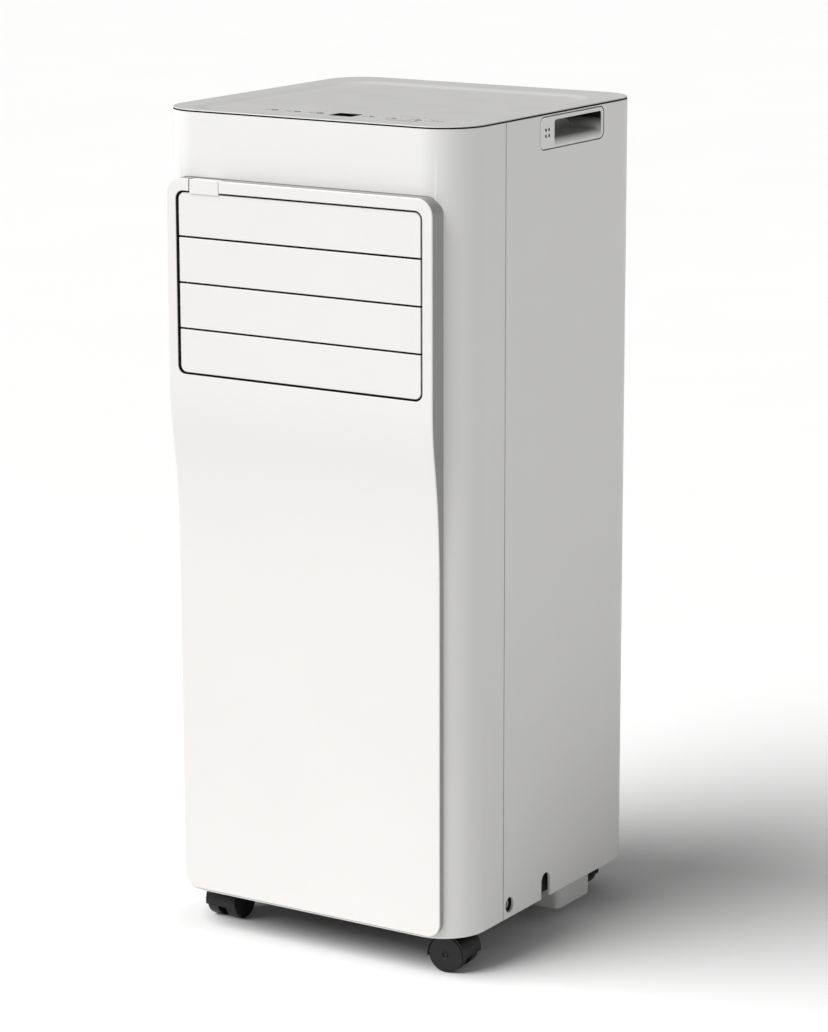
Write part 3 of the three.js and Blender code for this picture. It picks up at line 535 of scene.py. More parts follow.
GAP = 0.3                       # clearance between pieces that touch
WALL = 2.5
PAST = 10                       # how far a cutting tool reaches past what it cuts
FRONT_RADIUS, REAR_RADIUS = 38.0, 34.0
OUTER_STEPS, INNER_STEPS = 20, 12       # along each corner of a shell's two faces
PANEL_TOP_RADIUS, PANEL_BOTTOM_RADIUS = 14.0, 12.5
PANEL_SKIN = 2.5
PANEL_ROUND = 1.1               # of the rim round the panel's face
POCKET_DEPTH = 2.6              # recess in the front shell that holds the panel
SWELL_LOW, SWELL_HIGH = 285.0, 440.0    # the swell's foot and top, above the shells' lower edge
FOOT_PROUD = 0.75               # how far the panel's lower skin stands proud of the front shell
OUTLET_HALF_WIDTH, OUTLET_RADIUS = 118.0, 7.0
OUTLET_WALL = 1.5
OUTLET_LOW, OUTLET_HIGH = 446.7, 597.5  # above the shells' lower edge
TAB_SIDE_GAP = 0.5
SEAM_TRIM = 0.15                # how far each shell's edge stands back at the upright seam

shell_low, front_shell_high = corners("front_shell")
rear_shell_low, shell_high = corners("rear_shell")
panel_low, panel_high = corners("front_panel")
FRONT_Y, REAR_Y = shell_low[1], shell_high[1]
SIDE_X = shell_high[0]
LOW_Z, HIGH_Z = shell_low[2], shell_high[2]
SEAM_FRONT = front_shell_high[1] - SEAM_TRIM
SEAM_REAR = rear_shell_low[1] + SEAM_TRIM
PANEL_FACE = panel_low[1]
PANEL_BACK = FRONT_Y + POCKET_DEPTH - GAP
FOOT_FACE = FRONT_Y - FOOT_PROUD
OUTLET_MIDDLE = LOW_Z + (OUTLET_LOW + OUTLET_HIGH) / 2
OUTLET_HALF_HEIGHT = (OUTLET_HIGH - OUTLET_LOW) / 2


def body_outline(inset, steps=12):
    """The shells seen from above, or a smaller outline inside theirs, as a function of d."""
    radii = [FRONT_RADIUS, FRONT_RADIUS, REAR_RADIUS, REAR_RADIUS]
    whole = rounded_rect(-SIDE_X, FRONT_Y, SIDE_X, REAR_Y, radii, steps)
    return lambda d=0.0: whole(inset + d)


def panel_outline(grow=0.0):
    radii = [PANEL_BOTTOM_RADIUS + grow] * 2 + [PANEL_TOP_RADIUS + grow] * 2
    return footprint("y", panel_low, panel_high, radii, 10, grow)


def outlet_outline(grow=0.0):
    half = OUTLET_HALF_WIDTH + grow
    return rounded_rect(-half, LOW_Z + OUTLET_LOW - grow, half, LOW_Z + OUTLET_HIGH + grow,
                        OUTLET_RADIUS + grow, 8)


# ---------------- shells

NOTCH = {"y0": -13.6, "y1": 0.4, "height": 22.3, "radius": 6.9}
HANDLE_CORNER, HANDLE_GAP = 5.7, 0.6
SCREW_HOLE_RADIUS = 6.5
PLUG_HOLE = 7.3, 24             # radius, and steps round it
REAR_HOLES = {"exhaust_collar": (70.3, 64), "drain_plug_middle": PLUG_HOLE,
              "drain_plug_bottom": PLUG_HOLE, "cord_gland": PLUG_HOLE}
GRILLE_SIDE_GAP, GRILLE_SWING_GAP = 0.6, 1.2
REAR_SCREW_X = 104.0
REAR_SCREW_HEIGHTS = (14.0, 330.0, 646.0)       # above the shells' lower edge
REAR_SCREW_SINK, REAR_SCREW_HOLE = 1.4, 4.6     # depth and radius


def corner_path(way, radius, steps, seam_y, stop=90):
    """A path from the right seam round a shell's two corners to the left one; way is -1 in front."""
    outer_radius, face_y = (REAR_RADIUS, REAR_Y) if way > 0 else (FRONT_RADIUS, FRONT_Y)
    x, y = SIDE_X - outer_radius, face_y - way * outer_radius
    side = SIDE_X - (outer_radius - radius)
    right = arc(x, y, radius, 0, way * stop, steps)
    left = arc(-x, y, radius, way * (180 - stop), way * 180, steps)
    return [(side, seam_y)] + right + left + [(-side, seam_y)]


def shell_wall(outer, inner):
    """An upright wall between an outer path and an inner path, from the lower to the upper edge."""
    outline = outer + inner[::-1]
    return loft(bmesh.new(), [at("z", outline, LOW_Z), at("z", outline, HIGH_Z)])


def soften_shell(bm):
    soften(bm, 1.1, 3, 40, lambda p: p.z < LOW_Z + 0.1)
    soften(bm, 0.6, 2, 60, lambda p: p.z > LOW_Z + 2)


def on_seam_shade(p, normal):
    """Whether a face is on a shell's edge at the other shell or the cover; these faces get black as painted shade
    in the seam.
    """
    on_top = normal.z > 0.9 and p.z > HIGH_Z - 0.1
    at_side = abs(normal.y) > 0.9 and SEAM_FRONT - 0.1 < p.y < SEAM_REAR + 0.1
    return on_top or at_side


def make_front_shell():
    inner_radius = FRONT_RADIUS - WALL
    inner_face = FRONT_Y + POCKET_DEPTH + WALL
    meet = degrees(asin((FRONT_Y + FRONT_RADIUS - inner_face) / inner_radius))
    bm = shell_wall(corner_path(-1, FRONT_RADIUS, OUTER_STEPS, SEAM_FRONT),
                    corner_path(-1, inner_radius, INNER_STEPS, SEAM_FRONT, meet))
    bm = cut(bm, "y", panel_outline(GAP), FRONT_Y - PAST, FRONT_Y + POCKET_DEPTH)
    bm = cut(bm, "y", outlet_outline(0.5), FRONT_Y - PAST, FRONT_Y + 2 * PAST)
    soften_shell(bm)
    made = finish_piece("front_shell_moulding", bm, "shell_white", stands_for=["front_shell"])
    # painted shade: black on the seam edges
    finish_faces(made, "rubber_black", on_seam_shade)


def side_screw_spot():
    low, high = corners("side_screw_right")
    return (low[1] + high[1]) / 2, (low[2] + high[2]) / 2


def rear_screw_spots():
    return [(side * REAR_SCREW_X, LOW_Z + z) for side in (-1, 1) for z in REAR_SCREW_HEIGHTS]


def cut_levels(bm):
    """Cuts the rear shell level with the middle of each opening, so that no face goes round one."""
    openings = ("upper_intake_grille", "lower_intake_grille", *REAR_HOLES, "handle_right",
                "side_screw_right")
    levels = {round(middle_of(name)[1], 1) for name in openings}
    levels |= {round(z, 1) for _, z in rear_screw_spots()}
    for z in sorted(levels):
        slice_at(bm, z)
    return bm


def rear_shell_openings():
    """The tool that cuts every opening of the rear shell."""
    grip = footprint("x", *corners("handle_right"), HANDLE_CORNER + HANDLE_GAP, grow=HANDLE_GAP)
    notch = rounded_rect(NOTCH["y0"], LOW_Z - 5, NOTCH["y1"], LOW_Z + NOTCH["height"],
                         [0, 0, NOTCH["radius"], NOTCH["radius"]], 8)
    screw = disc(*side_screw_spot(), SCREW_HOLE_RADIUS, 28)
    tool = bmesh.new()
    for side in (-1, 1):
        for outline in (grip, notch, screw):
            prism(tool, "x", outline, side * (SIDE_X - 8), side * (SIDE_X + 8))
    through = (REAR_Y - 8, REAR_Y + 8)
    for grille, below in (("upper_intake_grille", GRILLE_SWING_GAP), ("lower_intake_grille", GAP)):
        low, high = corners(grille)
        outline = rounded_rect(low[0] - GRILLE_SIDE_GAP, low[2] - below, high[0] + GRILLE_SIDE_GAP,
                               high[2] + GAP, 1.0, 3)
        prism(tool, "y", outline, *through)
    for cad_node, size in REAR_HOLES.items():
        prism(tool, "y", disc(*middle_of(cad_node), *size), *through)
    for x, z in rear_screw_spots():
        prism(tool, "y", disc(x, z, REAR_SCREW_HOLE, 24), REAR_Y - REAR_SCREW_SINK, REAR_Y + 5)
    return tool


def make_rear_shell():
    bm = shell_wall(corner_path(1, REAR_RADIUS, OUTER_STEPS, SEAM_REAR),
                    corner_path(1, REAR_RADIUS - WALL, INNER_STEPS, SEAM_REAR))
    bm = combine(cut_levels(bm), rear_shell_openings())
    soften_shell(bm)
    made = finish_piece("rear_shell_moulding", bm, "shell_white", stands_for=["rear_shell"])
    low, high = corners("handle_right")

    # painted shade: black on the seam edges and on the hole's walls round the hand hold
    def in_painted_shade(p, normal):
        around_handle = low[1] - 1 < p.y < high[1] + 1 and low[2] - 1 < p.z < high[2] + 1
        return on_seam_shade(p, normal) or around_handle and abs(normal.x) < 0.5 and abs(p.x) > SIDE_X - 4
    finish_faces(made, "rubber_black", in_painted_shade)


# ---------------- front panel

FLAT_DEPTH = 50.0               # of a panel before its back is moved into place
SWELL_EASE_LOW, SWELL_EASE_HIGH = 100, 48       # how long the swell's curve holds to each end
SWELL_SLICES = 44
HOLLOW_LOW = 330                # above the shells' lower edge


def bezier(values, t):
    a, b, c, d = values
    return a * (1 - t) ** 3 + 3 * b * t * (1 - t) ** 2 + 3 * c * t * t * (1 - t) + d * t ** 3


def panel_face(z):
    """Where the panel's face is in Y at height z: a flat skin that swells forward at the outlet."""
    low, high = LOW_Z + SWELL_LOW, LOW_Z + SWELL_HIGH
    if z <= low:
        return FOOT_FACE
    if z >= high:
        return PANEL_FACE
    heights = (low, low + SWELL_EASE_LOW, high - SWELL_EASE_HIGH, high)
    before, after = 0.0, 1.0
    for _ in range(30):
        t = (before + after) / 2
        if bezier(heights, t) < z:
            before = t
        else:
            after = t
    return bezier((FOOT_FACE, FOOT_FACE, PANEL_FACE, PANEL_FACE), t)


def swelled(bm, back_y, set_back=0.0):
    """Slices a flat plate that faces Y = 0 level by level and moves its face onto the swell."""
    for i in range(SWELL_SLICES + 1):
        slice_at(bm, LOW_Z + SWELL_LOW + (SWELL_HIGH - SWELL_LOW) * i / SWELL_SLICES)
    for vert in bm.verts:
        is_back = vert.co.y > FLAT_DEPTH - 1e-3
        vert.co.y = back_y if is_back else panel_face(vert.co.z) + set_back + vert.co.y
    return bm


def on_edge_trim_and_shade(p, normal):
    """Whether a face is on the panel's outer side or top, between the rounded rim and the shell. These faces get a
    dark grey that is partly grey trim and partly painted shade of the crease beside the shell.
    """
    outward = p.x * normal.x + (p.z - middle_of("front_panel")[1]) * normal.z
    near_rim = abs(p.x) > panel_high[0] - PANEL_TOP_RADIUS or p.z > panel_high[2] - PANEL_TOP_RADIUS
    return abs(normal.y) < 0.2 and outward > 0 and near_rim


def in_outlet_shade(p, normal):
    """Whether a face is on the wall inside the outlet or the tab's notch, behind the rounded rim. These faces get
    black as painted shade.
    """
    low, high = tab_corners()
    in_height = abs(p.z - OUTLET_MIDDLE) < OUTLET_HALF_HEIGHT + 0.6
    in_opening = in_height and abs(p.x) < OUTLET_HALF_WIDTH + 0.6
    in_notch = low[0] - 0.8 < p.x < high[0] + 0.8 and p.z > OUTLET_MIDDLE and p.y < high[1] + 0.8
    return p.y > PANEL_FACE + 0.55 and (in_opening or in_notch)


def panel_hollow():
    """What is taken out behind the panel's face, all but a block round the tab."""
    inner_radius = PANEL_TOP_RADIUS - PANEL_SKIN
    inner = rounded_rect(panel_low[0] + PANEL_SKIN, LOW_Z + HOLLOW_LOW, panel_high[0] - PANEL_SKIN,
                         panel_high[2] - PANEL_SKIN, [3, 3, inner_radius, inner_radius])
    hollow = plate(bmesh.new(), "y", inner, [outlet_outline(OUTLET_WALL)], FLAT_DEPTH, 0, 0.05, 0.05, 1)
    hollow = swelled(hollow, FRONT_Y + 20, set_back=PANEL_SKIN)
    low, high = tab_corners()
    keep = block(bmesh.new(), low[0] - 3, high[0] + 3, PANEL_FACE + 1, high[1] + 3,
                 LOW_Z + OUTLET_HIGH, panel_high[2] - 1)
    return combine(hollow, keep)


def make_front_panel():
    bm = plate(bmesh.new(), "y", panel_outline(), [outlet_outline()], FLAT_DEPTH, 0, PANEL_ROUND, 0.5, 4)
    bm = swelled(bm, FRONT_Y + 12)
    behind = prism(bmesh.new(), "z", body_outline(-GAP, 20), LOW_Z - 20, HIGH_Z + 20)
    bm = combine(bm, cut(behind, "y", panel_outline(1.0), FRONT_Y - 20, PANEL_BACK))
    bm = combine(bm, panel_hollow())
    low, high = tab_corners()
    tool = block(bmesh.new(), low[0] - TAB_SIDE_GAP, high[0] + TAB_SIDE_GAP, PANEL_FACE - 5,
                 high[1] + TAB_SIDE_GAP, LOW_Z + OUTLET_HIGH - 1, panel_high[2] + 5)
    wall = OUTLET_HALF_WIDTH + 1.2
    for i in range(LOUVER_COUNT):
        bore = disc(*louver_pivot(i), PIVOT_RADIUS + GAP, 16)
        prism(tool, "x", bore, -wall - 3, -wall + 3)
        prism(tool, "x", bore, wall - 3, wall + 1)
    bm = combine(bm, tool)
    middle = (low[0] + high[0]) / 2
    soften(bm, 0.3, 2, 60, lambda p: abs(p.x - middle) < 17 and p.y < high[1]
           and p.z > LOW_Z + OUTLET_HIGH - 1.5)
    made = finish_piece("front_panel_moulding", bm, "panel_white", stands_for=["front_panel"])
    # the panel's outer walls: dark grey, partly painted shade
    finish_faces(made, "edge_trim_and_shade", on_edge_trim_and_shade)
    # painted shade: black on the outlet's inner walls
    finish_faces(made, "duct_black", in_outlet_shade)


# ---------------- louvers

LOUVER_COUNT = 4
LOUVER_PITCH = (OUTLET_HIGH - OUTLET_LOW) / LOUVER_COUNT
PIVOT_RADIUS = 1.5
PIVOT_BEHIND_FACE = 4.6
BLADE_THICKNESS = 3.0
BLADE_HALF_WIDTH = 115.8
BLADE_CORNER, BLADE_EDGE = 5.6, 0.5     # radii at the outlet's corners, and beside another blade
BLADE_SLIT, END_SLIT = 1.7, 1.6         # between two blades, and above and below them all
PIN_END = 118.9
CRANK_REACH = 5.2
CRANK_RADIUS, CRANK_PIN_RADIUS = 2.4, 1.1
CRANK_X = (-121.4, -119.8)
TAB_X = (-104.3, -75.6)
TAB_DEPTH = 8.8


def louver_face():
    return corners("louver_2")[0][1]


def louver_pivot(index):
    return louver_face() + PIVOT_BEHIND_FACE, LOW_Z + OUTLET_HIGH - LOUVER_PITCH * (index + 0.5)


def tab_corners():
    front = corners("louver_1")[0][1]
    return (TAB_X[0], front), (TAB_X[1], front + TAB_DEPTH)


def make_louver(index):
    name = f"louver_{index + 1}"
    face = louver_face()
    y, z = louver_pivot(index)
    half = (LOUVER_PITCH - BLADE_SLIT) / 2
    low_round = BLADE_CORNER if index == LOUVER_COUNT - 1 else BLADE_EDGE
    top_round = BLADE_CORNER if index == 0 else BLADE_EDGE
    blade_low = max(z - half, LOW_Z + OUTLET_LOW + END_SLIT)
    blade_high = min(z + half, LOW_Z + OUTLET_HIGH - END_SLIT)
    outline = rounded_rect(-BLADE_HALF_WIDTH, blade_low, BLADE_HALF_WIDTH, blade_high,
                           [low_round, low_round, top_round, top_round], 6)
    bm = prism(bmesh.new(), "y", outline, face, face + BLADE_THICKNESS, 0.5, 0.8)
    extra = bmesh.new()
    lug = rounded_rect(face + 1, z - 4, y + 2.5, z + 4, [0.5, 2, 2, 0.5], 4)
    for side in (-1, 1):
        prism(extra, "x", lug, side * (BLADE_HALF_WIDTH - 3), side * (BLADE_HALF_WIDTH - 0.2))
    rib = rounded_rect(face + BLADE_THICKNESS - 0.5, z - 0.8, y - 0.6, z + 0.8, 0.3, 2)
    prism(extra, "x", rib, 4 - BLADE_HALF_WIDTH, BLADE_HALF_WIDTH - 4)
    bm = combine(bm, extra, "UNION")
    pins, pin = bmesh.new(), disc(y, z, PIVOT_RADIUS, 20)
    prism(pins, "x", pin, BLADE_HALF_WIDTH - 2, PIN_END, 0, 0.3)
    prism(pins, "x", pin, CRANK_X[1] - 0.6, 2 - BLADE_HALF_WIDTH)
    bm = combine(bm, pins, "UNION")
    arm = rounded_rect(y - CRANK_RADIUS, z - CRANK_RADIUS, y + CRANK_REACH + CRANK_RADIUS,
                       z + CRANK_RADIUS, 2.3, 6)
    bm = join(bm, "x", arm, *CRANK_X, 0.2, 0.2)
    crank_end = corners("louver_2")[0][0]
    bm = join(bm, "x", disc(y + CRANK_REACH, z, CRANK_PIN_RADIUS, 16), crank_end, CRANK_X[0] + 0.4, 0.3)
    if index == 0:
        tab = footprint("z", *tab_corners(), 0.4, 3)
        bm = join(bm, "z", tab, blade_high - 0.3, corners(name)[1][2], 0.1, 0.6)
    finish_piece(f"{name}_blade", bm, "panel_white", name, [name])


def make_louver_link():
    low, high = corners("louver_link")
    holes = []
    for i in range(LOUVER_COUNT):
        y, z = louver_pivot(i)
        holes.append(disc(y + CRANK_REACH, z, CRANK_PIN_RADIUS + GAP, 16))
    bm = plate(bmesh.new(), "x", footprint("x", low, high, 2.3, 5), holes, high[0], low[0], 0.3, 0.15, 2)
    finish_piece("louver_link_bar", bm, "duct_black", "louver_link", ["louver_link"])


# ---------------- top cover and controls

DISH_HALF_WIDTH, DISH_RADIUS = 121.0, 28.0
DISH_FRONT, DISH_REAR = 12.0, 35.2      # from the shells' front and rear
DISH_SLOPE = 12.0                       # how wide the soft step into the dish is
COVER_INSET = 0.2
COVER_ROUND = 0.7
COVER_GAP = 1.0                         # the dark line between the shells and the cover's rim
COVER_STEPS, SLOPE_STEPS = 12, 6
PLUG_INSET = 3.8
PLUG_DROP = 2.6                         # from the keys' tops to the underside of the cover's plug
KEYS = ("power", "mode", "timer", "down", "up", "speed")
MARK_DEPTH = 0.3
THIRD_OF_TURN = 2.094


def low_plug_z():
    """The underside of the cover's plug, which the keys' caps hang above."""
    return corners("key_power")[1][2] - PLUG_DROP


def key_spot(name):
    low, high = corners(f"key_{name}")
    return (low[0] + high[0]) / 2, (low[1] + high[1]) / 2, (high[0] - low[0]) / 2


def cover_rings(rim_low, rim_top, dish_z):
    """The cover's skin, from the plug's underside out to the rim, over it and down into the dish."""
    plug_radii = [FRONT_RADIUS - PLUG_INSET] * 2 + [REAR_RADIUS - PLUG_INSET] * 2
    plug = rounded_rect(PLUG_INSET - SIDE_X, FRONT_Y + POCKET_DEPTH + WALL + GAP, SIDE_X - PLUG_INSET,
                        REAR_Y - PLUG_INSET, plug_radii, COVER_STEPS)()
    rim = body_outline(COVER_INSET, COVER_STEPS)
    rings = [at("z", plug, low_plug_z()), at("z", plug, rim_low), at("z", rim(0.2), rim_low),
             at("z", rim(), rim_low + 0.2)]
    rings += [at("z", rim(inset), rim_top - down) for down, inset in rounding(COVER_ROUND, 4)]
    dish = rounded_rect(-DISH_HALF_WIDTH, FRONT_Y + DISH_FRONT, DISH_HALF_WIDTH, REAR_Y - DISH_REAR,
                        DISH_RADIUS, COVER_STEPS)
    for i in range(SLOPE_STEPS + 1):
        t = i / SLOPE_STEPS
        ease = t * t * (3 - 2 * t)
        rings.append(at("z", dish(DISH_SLOPE * (t - 0.5)), rim_top + (dish_z - rim_top) * ease))
    return rings


def make_top_cover():
    low, high = corners("top_cover")
    dish_z = corners("key_power")[1][2]
    rim_low = HIGH_Z + COVER_GAP
    bm = bmesh.new()
    made = as_vertices(bm, cover_rings(rim_low, high[2], dish_z))
    skin(bm, made)
    holes = [footprint("z", *corners("display_window"), 1.8, 4, GAP)]
    for name in KEYS:
        x, y, radius = key_spot(name)
        holes.append(disc(x, y, radius + GAP, 32))
    top_rings, under_rings = [made[-1]], [made[0]]
    for hole in holes:
        levels = ((-0.25, dish_z), (-0.07, dish_z - 0.07), (0, dish_z - 0.25), (0, low_plug_z()))
        walls = as_vertices(bm, [at("z", hole(d), z) for d, z in levels])
        skin(bm, walls)
        top_rings.append(walls[0])
        under_rings.append(walls[-1])
    fill(bm, top_rings, "z")
    fill(bm, under_rings, "z")
    posts = bmesh.new()
    board_low, board_high = corners("control_board")
    for x in (board_low[0] + 4, board_high[0] - 4):
        for y in (board_low[1] + 4, board_high[1] - 4):
            knob(posts, "z", x, y, [(3, low[2]), (3, low_plug_z() + 1)], 16)
    bm = combine(bm, posts, "UNION")
    made = finish_piece("top_cover_moulding", bm, "cover_grey", stands_for=["top_cover"])
    middle = (FRONT_Y + REAR_Y) / 2
    reach = DISH_HALF_WIDTH + 2

    # painted shade: black under the cover's rim, in the gap above the shells
    def under_rim_shade(p, normal):
        near_rim = abs(p.x) > reach or abs(p.y - middle) > reach
        return p.z < rim_low + 0.1 and normal.z < 0.5 and near_rim
    finish_faces(made, "rubber_black", under_rim_shade)


def mark_solid(bm, outline, top):
    loft(bm, [at("z", outline, top - MARK_DEPTH), at("z", outline, top)])


def mark_dot(bm, x, y, top, radius, steps):
    knob(bm, "z", x, y, [(radius, top - MARK_DEPTH), (radius, top)], steps)


def mark_ring(bm, x, y, top, radius, width, start=0, end=360):
    """A printed ring, or part of one."""
    if end - start < 360:
        outer, inner = arc(x, y, radius, start, end, 20), arc(x, y, radius - width, end, start, 20)
        mark_solid(bm, outer + inner, top)
    else:
        base = top - MARK_DEPTH
        profile = [(radius - width, base), (radius, base), (radius, top), (radius - width, top)]
        ring_turned(bm, "z", x, y, profile, 32)


def mark_bar(bm, x, y, top, length, width, angle):
    """A printed bar that starts at a point and runs out at an angle."""
    turn = Matrix.Rotation(radians(angle), 2)
    bar = rounded_rect(0, -width / 2, length, width / 2, width * 0.3, 2)()
    mark_solid(bm, [turn @ Vector(p) + Vector((x, y)) for p in bar], top)


def mark_arrow(bm, x, y, top, way):
    outline = [(x - 2.6, y - 1.5 * way), (x + 2.6, y - 1.5 * way), (x, y + 2.2 * way)][::way]
    mark_solid(bm, outline, top)


SPOKES = [(mark_bar, 0.5 * cos(i * pi / 3), 0.5 * sin(i * pi / 3), 2.6, 0.5, 60 * i)
          for i in range(6)]
FAN_BLADES = [(mark_ring, 1.5 * cos(i * THIRD_OF_TURN), 1.5 * sin(i * THIRD_OF_TURN), 1.5,
               0.55, 120 * i - 70, 120 * i + 110) for i in range(3)]
KEY_MARKS = {                   # the strokes of each key's mark, and where they start on the key
    "power": [(mark_ring, 0, 0, 2.9, 0.6, 120, 420), (mark_bar, 0, 0.6, 2.9, 0.6, 90)],
    "mode": SPOKES,
    "timer": [(mark_ring, 0, 0, 3.0, 0.55), (mark_bar, 0, 0, 1.9, 0.5, 90),
              (mark_bar, 0.35, 0, 1.3, 0.5, 0)],
    "down": [(mark_arrow, 0, 0, -1)],
    "up": [(mark_arrow, 0, 0, 1)],
    "speed": FAN_BLADES + [(mark_dot, 0, 0, 0.5, 12)],
}


def make_keys():
    for name, strokes in KEY_MARKS.items():
        x, y, radius = key_spot(name)
        low, high = corners(f"key_{name}")
        cap_low = low_plug_z() + 0.6
        edge = high[2] - 0.55
        profile = [(2.5, low[2]), (2.5, cap_low), (radius, cap_low), (radius, edge)]
        profile += [(radius - 0.35 * (1 - cos(t)), edge + 0.35 * sin(t))
                    for t in (0.5, 1.0, RIGHT_ANGLE)]
        profile += [(radius - 1.6, high[2] - 0.16), (radius * 0.4, high[2] - 0.2)]
        cap = knob(bmesh.new(), "z", x, y, profile)
        finish_piece(f"key_{name}_cap", cap, "cover_grey", f"key_{name}", [f"key_{name}"])
        mark = bmesh.new()
        for draw, along, up, *sizes in strokes:
            draw(mark, x + along, y + up, high[2] - 0.02, *sizes)
        finish_piece(f"key_{name}_mark", mark, "cover_grey", f"key_{name}", finish="print_grey")


def make_display():
    low, high = corners("display_window")
    bm = prism(bmesh.new(), "z", footprint("z", low, high, 1.5, 5), low[2], high[2], 0, 0.3)
    finish_piece("display_lens", bm, "window_black", stands_for=["display_window"])


def make_printed_marks():
    """The lamps behind the keys and the plain bars and rings printed beside them."""
    bm = bmesh.new()
    top = corners("display_window")[1][2] + 0.04
    for name in KEYS:
        x, y, radius = key_spot(name)
        mark_dot(bm, x, y + radius + 2.4, top, 0.7, 16)
    low_x, y, radius = key_spot("up")
    high_x, _, _ = key_spot("speed")
    mark_bar(bm, low_x, y - radius - 3.5, top, high_x - low_x + 6, 1.0, 0)
    for step in (14, 18, 22):
        mark_ring(bm, high_x + step, y, top, 1.5, 0.6)
    for name in ("power", "mode"):
        x, y, radius = key_spot(name)
        mark_bar(bm, x + radius + 3, y, top, 4, 0.9, 0)
    finish_piece("indicator_marks", bm, "cover_grey", finish="print_grey")


# ---------------- hand holds

GRIP = {"front": 22.4, "rear": 3.7, "low": 0.9, "high": 3.3, "corner": 2.4}     # in from the bezel
SCOOP_DEPTH, SCOOP_RISE, LIP_RADIUS = 22.0, 9.0, 6.0
SCOOP_STEPS = 10
CUP_WALL = 2.0
DOT_PLACES = [(y, z) for y in (8.8, 13.8) for z in (10.5, 15.3)]    # from the bezel's lower corner


def scoop(deep_x, open_x):
    """Places along X and how far the hold's floor has risen: over the lip, then up the back wall."""
    turns = [RIGHT_ANGLE * i / SCOOP_STEPS for i in range(SCOOP_STEPS + 1)]
    lip = [(open_x - LIP_RADIUS * (1 - cos(t)), LIP_RADIUS * sin(t)) for t in turns]
    back = [(deep_x + SCOOP_DEPTH * (1 - sin(t)), LIP_RADIUS + SCOOP_RISE * (1 - cos(t)))
            for t in turns]
    return [(open_x + 5, 0.0)] + lip + back


def make_handle(name, side):
    low, high = corners("handle_right")
    front, rear = low[1] + GRIP["front"], high[1] - GRIP["rear"]
    floor, roof = low[2] + GRIP["low"], high[2] - GRIP["high"]
    outer_x, deep_x = high[0], low[0]
    bezel_back = SIDE_X - WALL - 1
    bezel = footprint("x", low, high, HANDLE_CORNER, 8)
    bm = prism(bmesh.new(), "x", bezel, bezel_back, outer_x, 0, 0.6)
    cup = rounded_rect(front - CUP_WALL, floor - CUP_WALL, rear + CUP_WALL, roof + CUP_WALL, 3, 4)
    bm = join(bm, "x", cup, deep_x, bezel_back + 0.7, 1.5)
    rings = []
    for x, rise in scoop(deep_x + CUP_WALL, outer_x):
        rings.append(at("x", rounded_rect(front, floor + rise, rear, roof, GRIP["corner"], 5)(), x))
    bm = combine(bm, loft(bmesh.new(), rings))
    dots = bmesh.new()
    for y, z in DOT_PLACES:
        y, z = low[1] + y, low[2] + z
        prism(dots, "x", rounded_rect(y - 1.2, z - 1.4, y + 1.2, z + 1.4, 1.15, 5), outer_x - 2.4,
              outer_x + 3)
    bm = combine(bm, dots)
    soften(bm, 0.7, 3, 60, lambda p: p.x > outer_x - 0.05 and front - 1 < p.y < rear + 1
           and floor - 0.5 < p.z < roof + 0.5)
    if side < 0:
        mirror_sides(bm)
    made = finish_piece(f"{name}_insert", bm, "handle_grey", stands_for=[name])

    def in_shaded_pocket(p, normal):
        inside = front - 0.1 < p.y < rear + 0.1 and floor < p.z < roof + 0.1
        return inside and deep_x + CUP_WALL - 0.1 < abs(p.x) < outer_x - 0.8 and normal.z < 0.5

    # painted shade: black in the grip dots' recesses and on the bezel's edges at the gap to the shell
    def in_painted_shade(p, normal):
        in_dots = (abs(p.x) < outer_x - 0.3 and low[1] + 6 < p.y < low[1] + 17
                   and low[2] + 8 < p.z < low[2] + 18)
        at_edge = (abs(p.x) < outer_x - 0.55 and abs(normal.x) < 0.3
                   and not front - 3 < p.y < rear + 3)
        return in_dots or at_edge
    # the pocket's walls: painted shade, darker towards the top
    finish_faces(made, "pocket_painted_shade", in_shaded_pocket)
    finish_faces(made, "rubber_black", in_painted_shade)


# ---------------- rear: port, grilles, plugs, gland

PORT_BORE, PORT_SPIGOT, PORT_FLANGE, PORT_COLLAR = 64.0, 70.0, 77.0, 68.0       # radii
GUARD_PITCH, GUARD_HALF, GUARD_DEPTH = 16.0, 1.1, 2.6
GRILLE_BORDER, GRILLE_POST = 7.0, 4.0
GLAND_BORE = 3.8
CROSS_HALF_WIDTH = 0.42


def make_exhaust_collar():
    low, high = corners("exhaust_collar")
    x, z = middle_of("exhaust_collar")
    inner, face, proud = low[1], REAR_Y + GAP, high[1]
    bore, spigot, flange, collar = PORT_BORE, PORT_SPIGOT, PORT_FLANGE, PORT_COLLAR
    profile = [(bore, inner), (spigot, inner), (spigot, face), (flange - 0.4, face),
               (flange, face + 0.4), (flange, face + 1.6), (flange - 0.9, face + 2.5),
               (collar + 0.8, face + 2.5), (collar, face + 3.3), (collar, proud - 3.0),
               (collar - 0.9, proud - 2.4), (collar - 0.9, proud - 0.8), (collar - 1.7, proud),
               (bore + 0.6, proud), (bore, proud - 0.6)]
    bm = ring_turned(bmesh.new(), "y", x, z, profile, 96)
    for upright in (False, True):
        bars = bmesh.new()
        for i in range(-3, 4):
            offset = i * GUARD_PITCH
            reach = sqrt((bore + 2) ** 2 - offset ** 2)
            thin, back = GUARD_HALF, inner + 0.3 * upright
            if upright:
                spans = (x + offset - thin, x + offset + thin), (z - reach, z + reach)
            else:
                spans = (x - reach, x + reach), (z + offset - thin, z + offset + thin)
            block(bars, *spans[0], back, back + GUARD_DEPTH, *spans[1])
        bm = combine(bm, bars, "UNION")
    slots = bmesh.new()
    for angle in (20, 140, 260):
        t = radians(angle)
        spot = x + (collar - 1) * cos(t), z + (collar - 1) * sin(t)
        prism(slots, "y", disc(*spot, 4.0, 20), proud - 4.5, proud + 4)
    bm = combine(bm, slots)
    finish_piece("exhaust_collar_ring", bm, "grille_grey", stands_for=["exhaust_collar"])


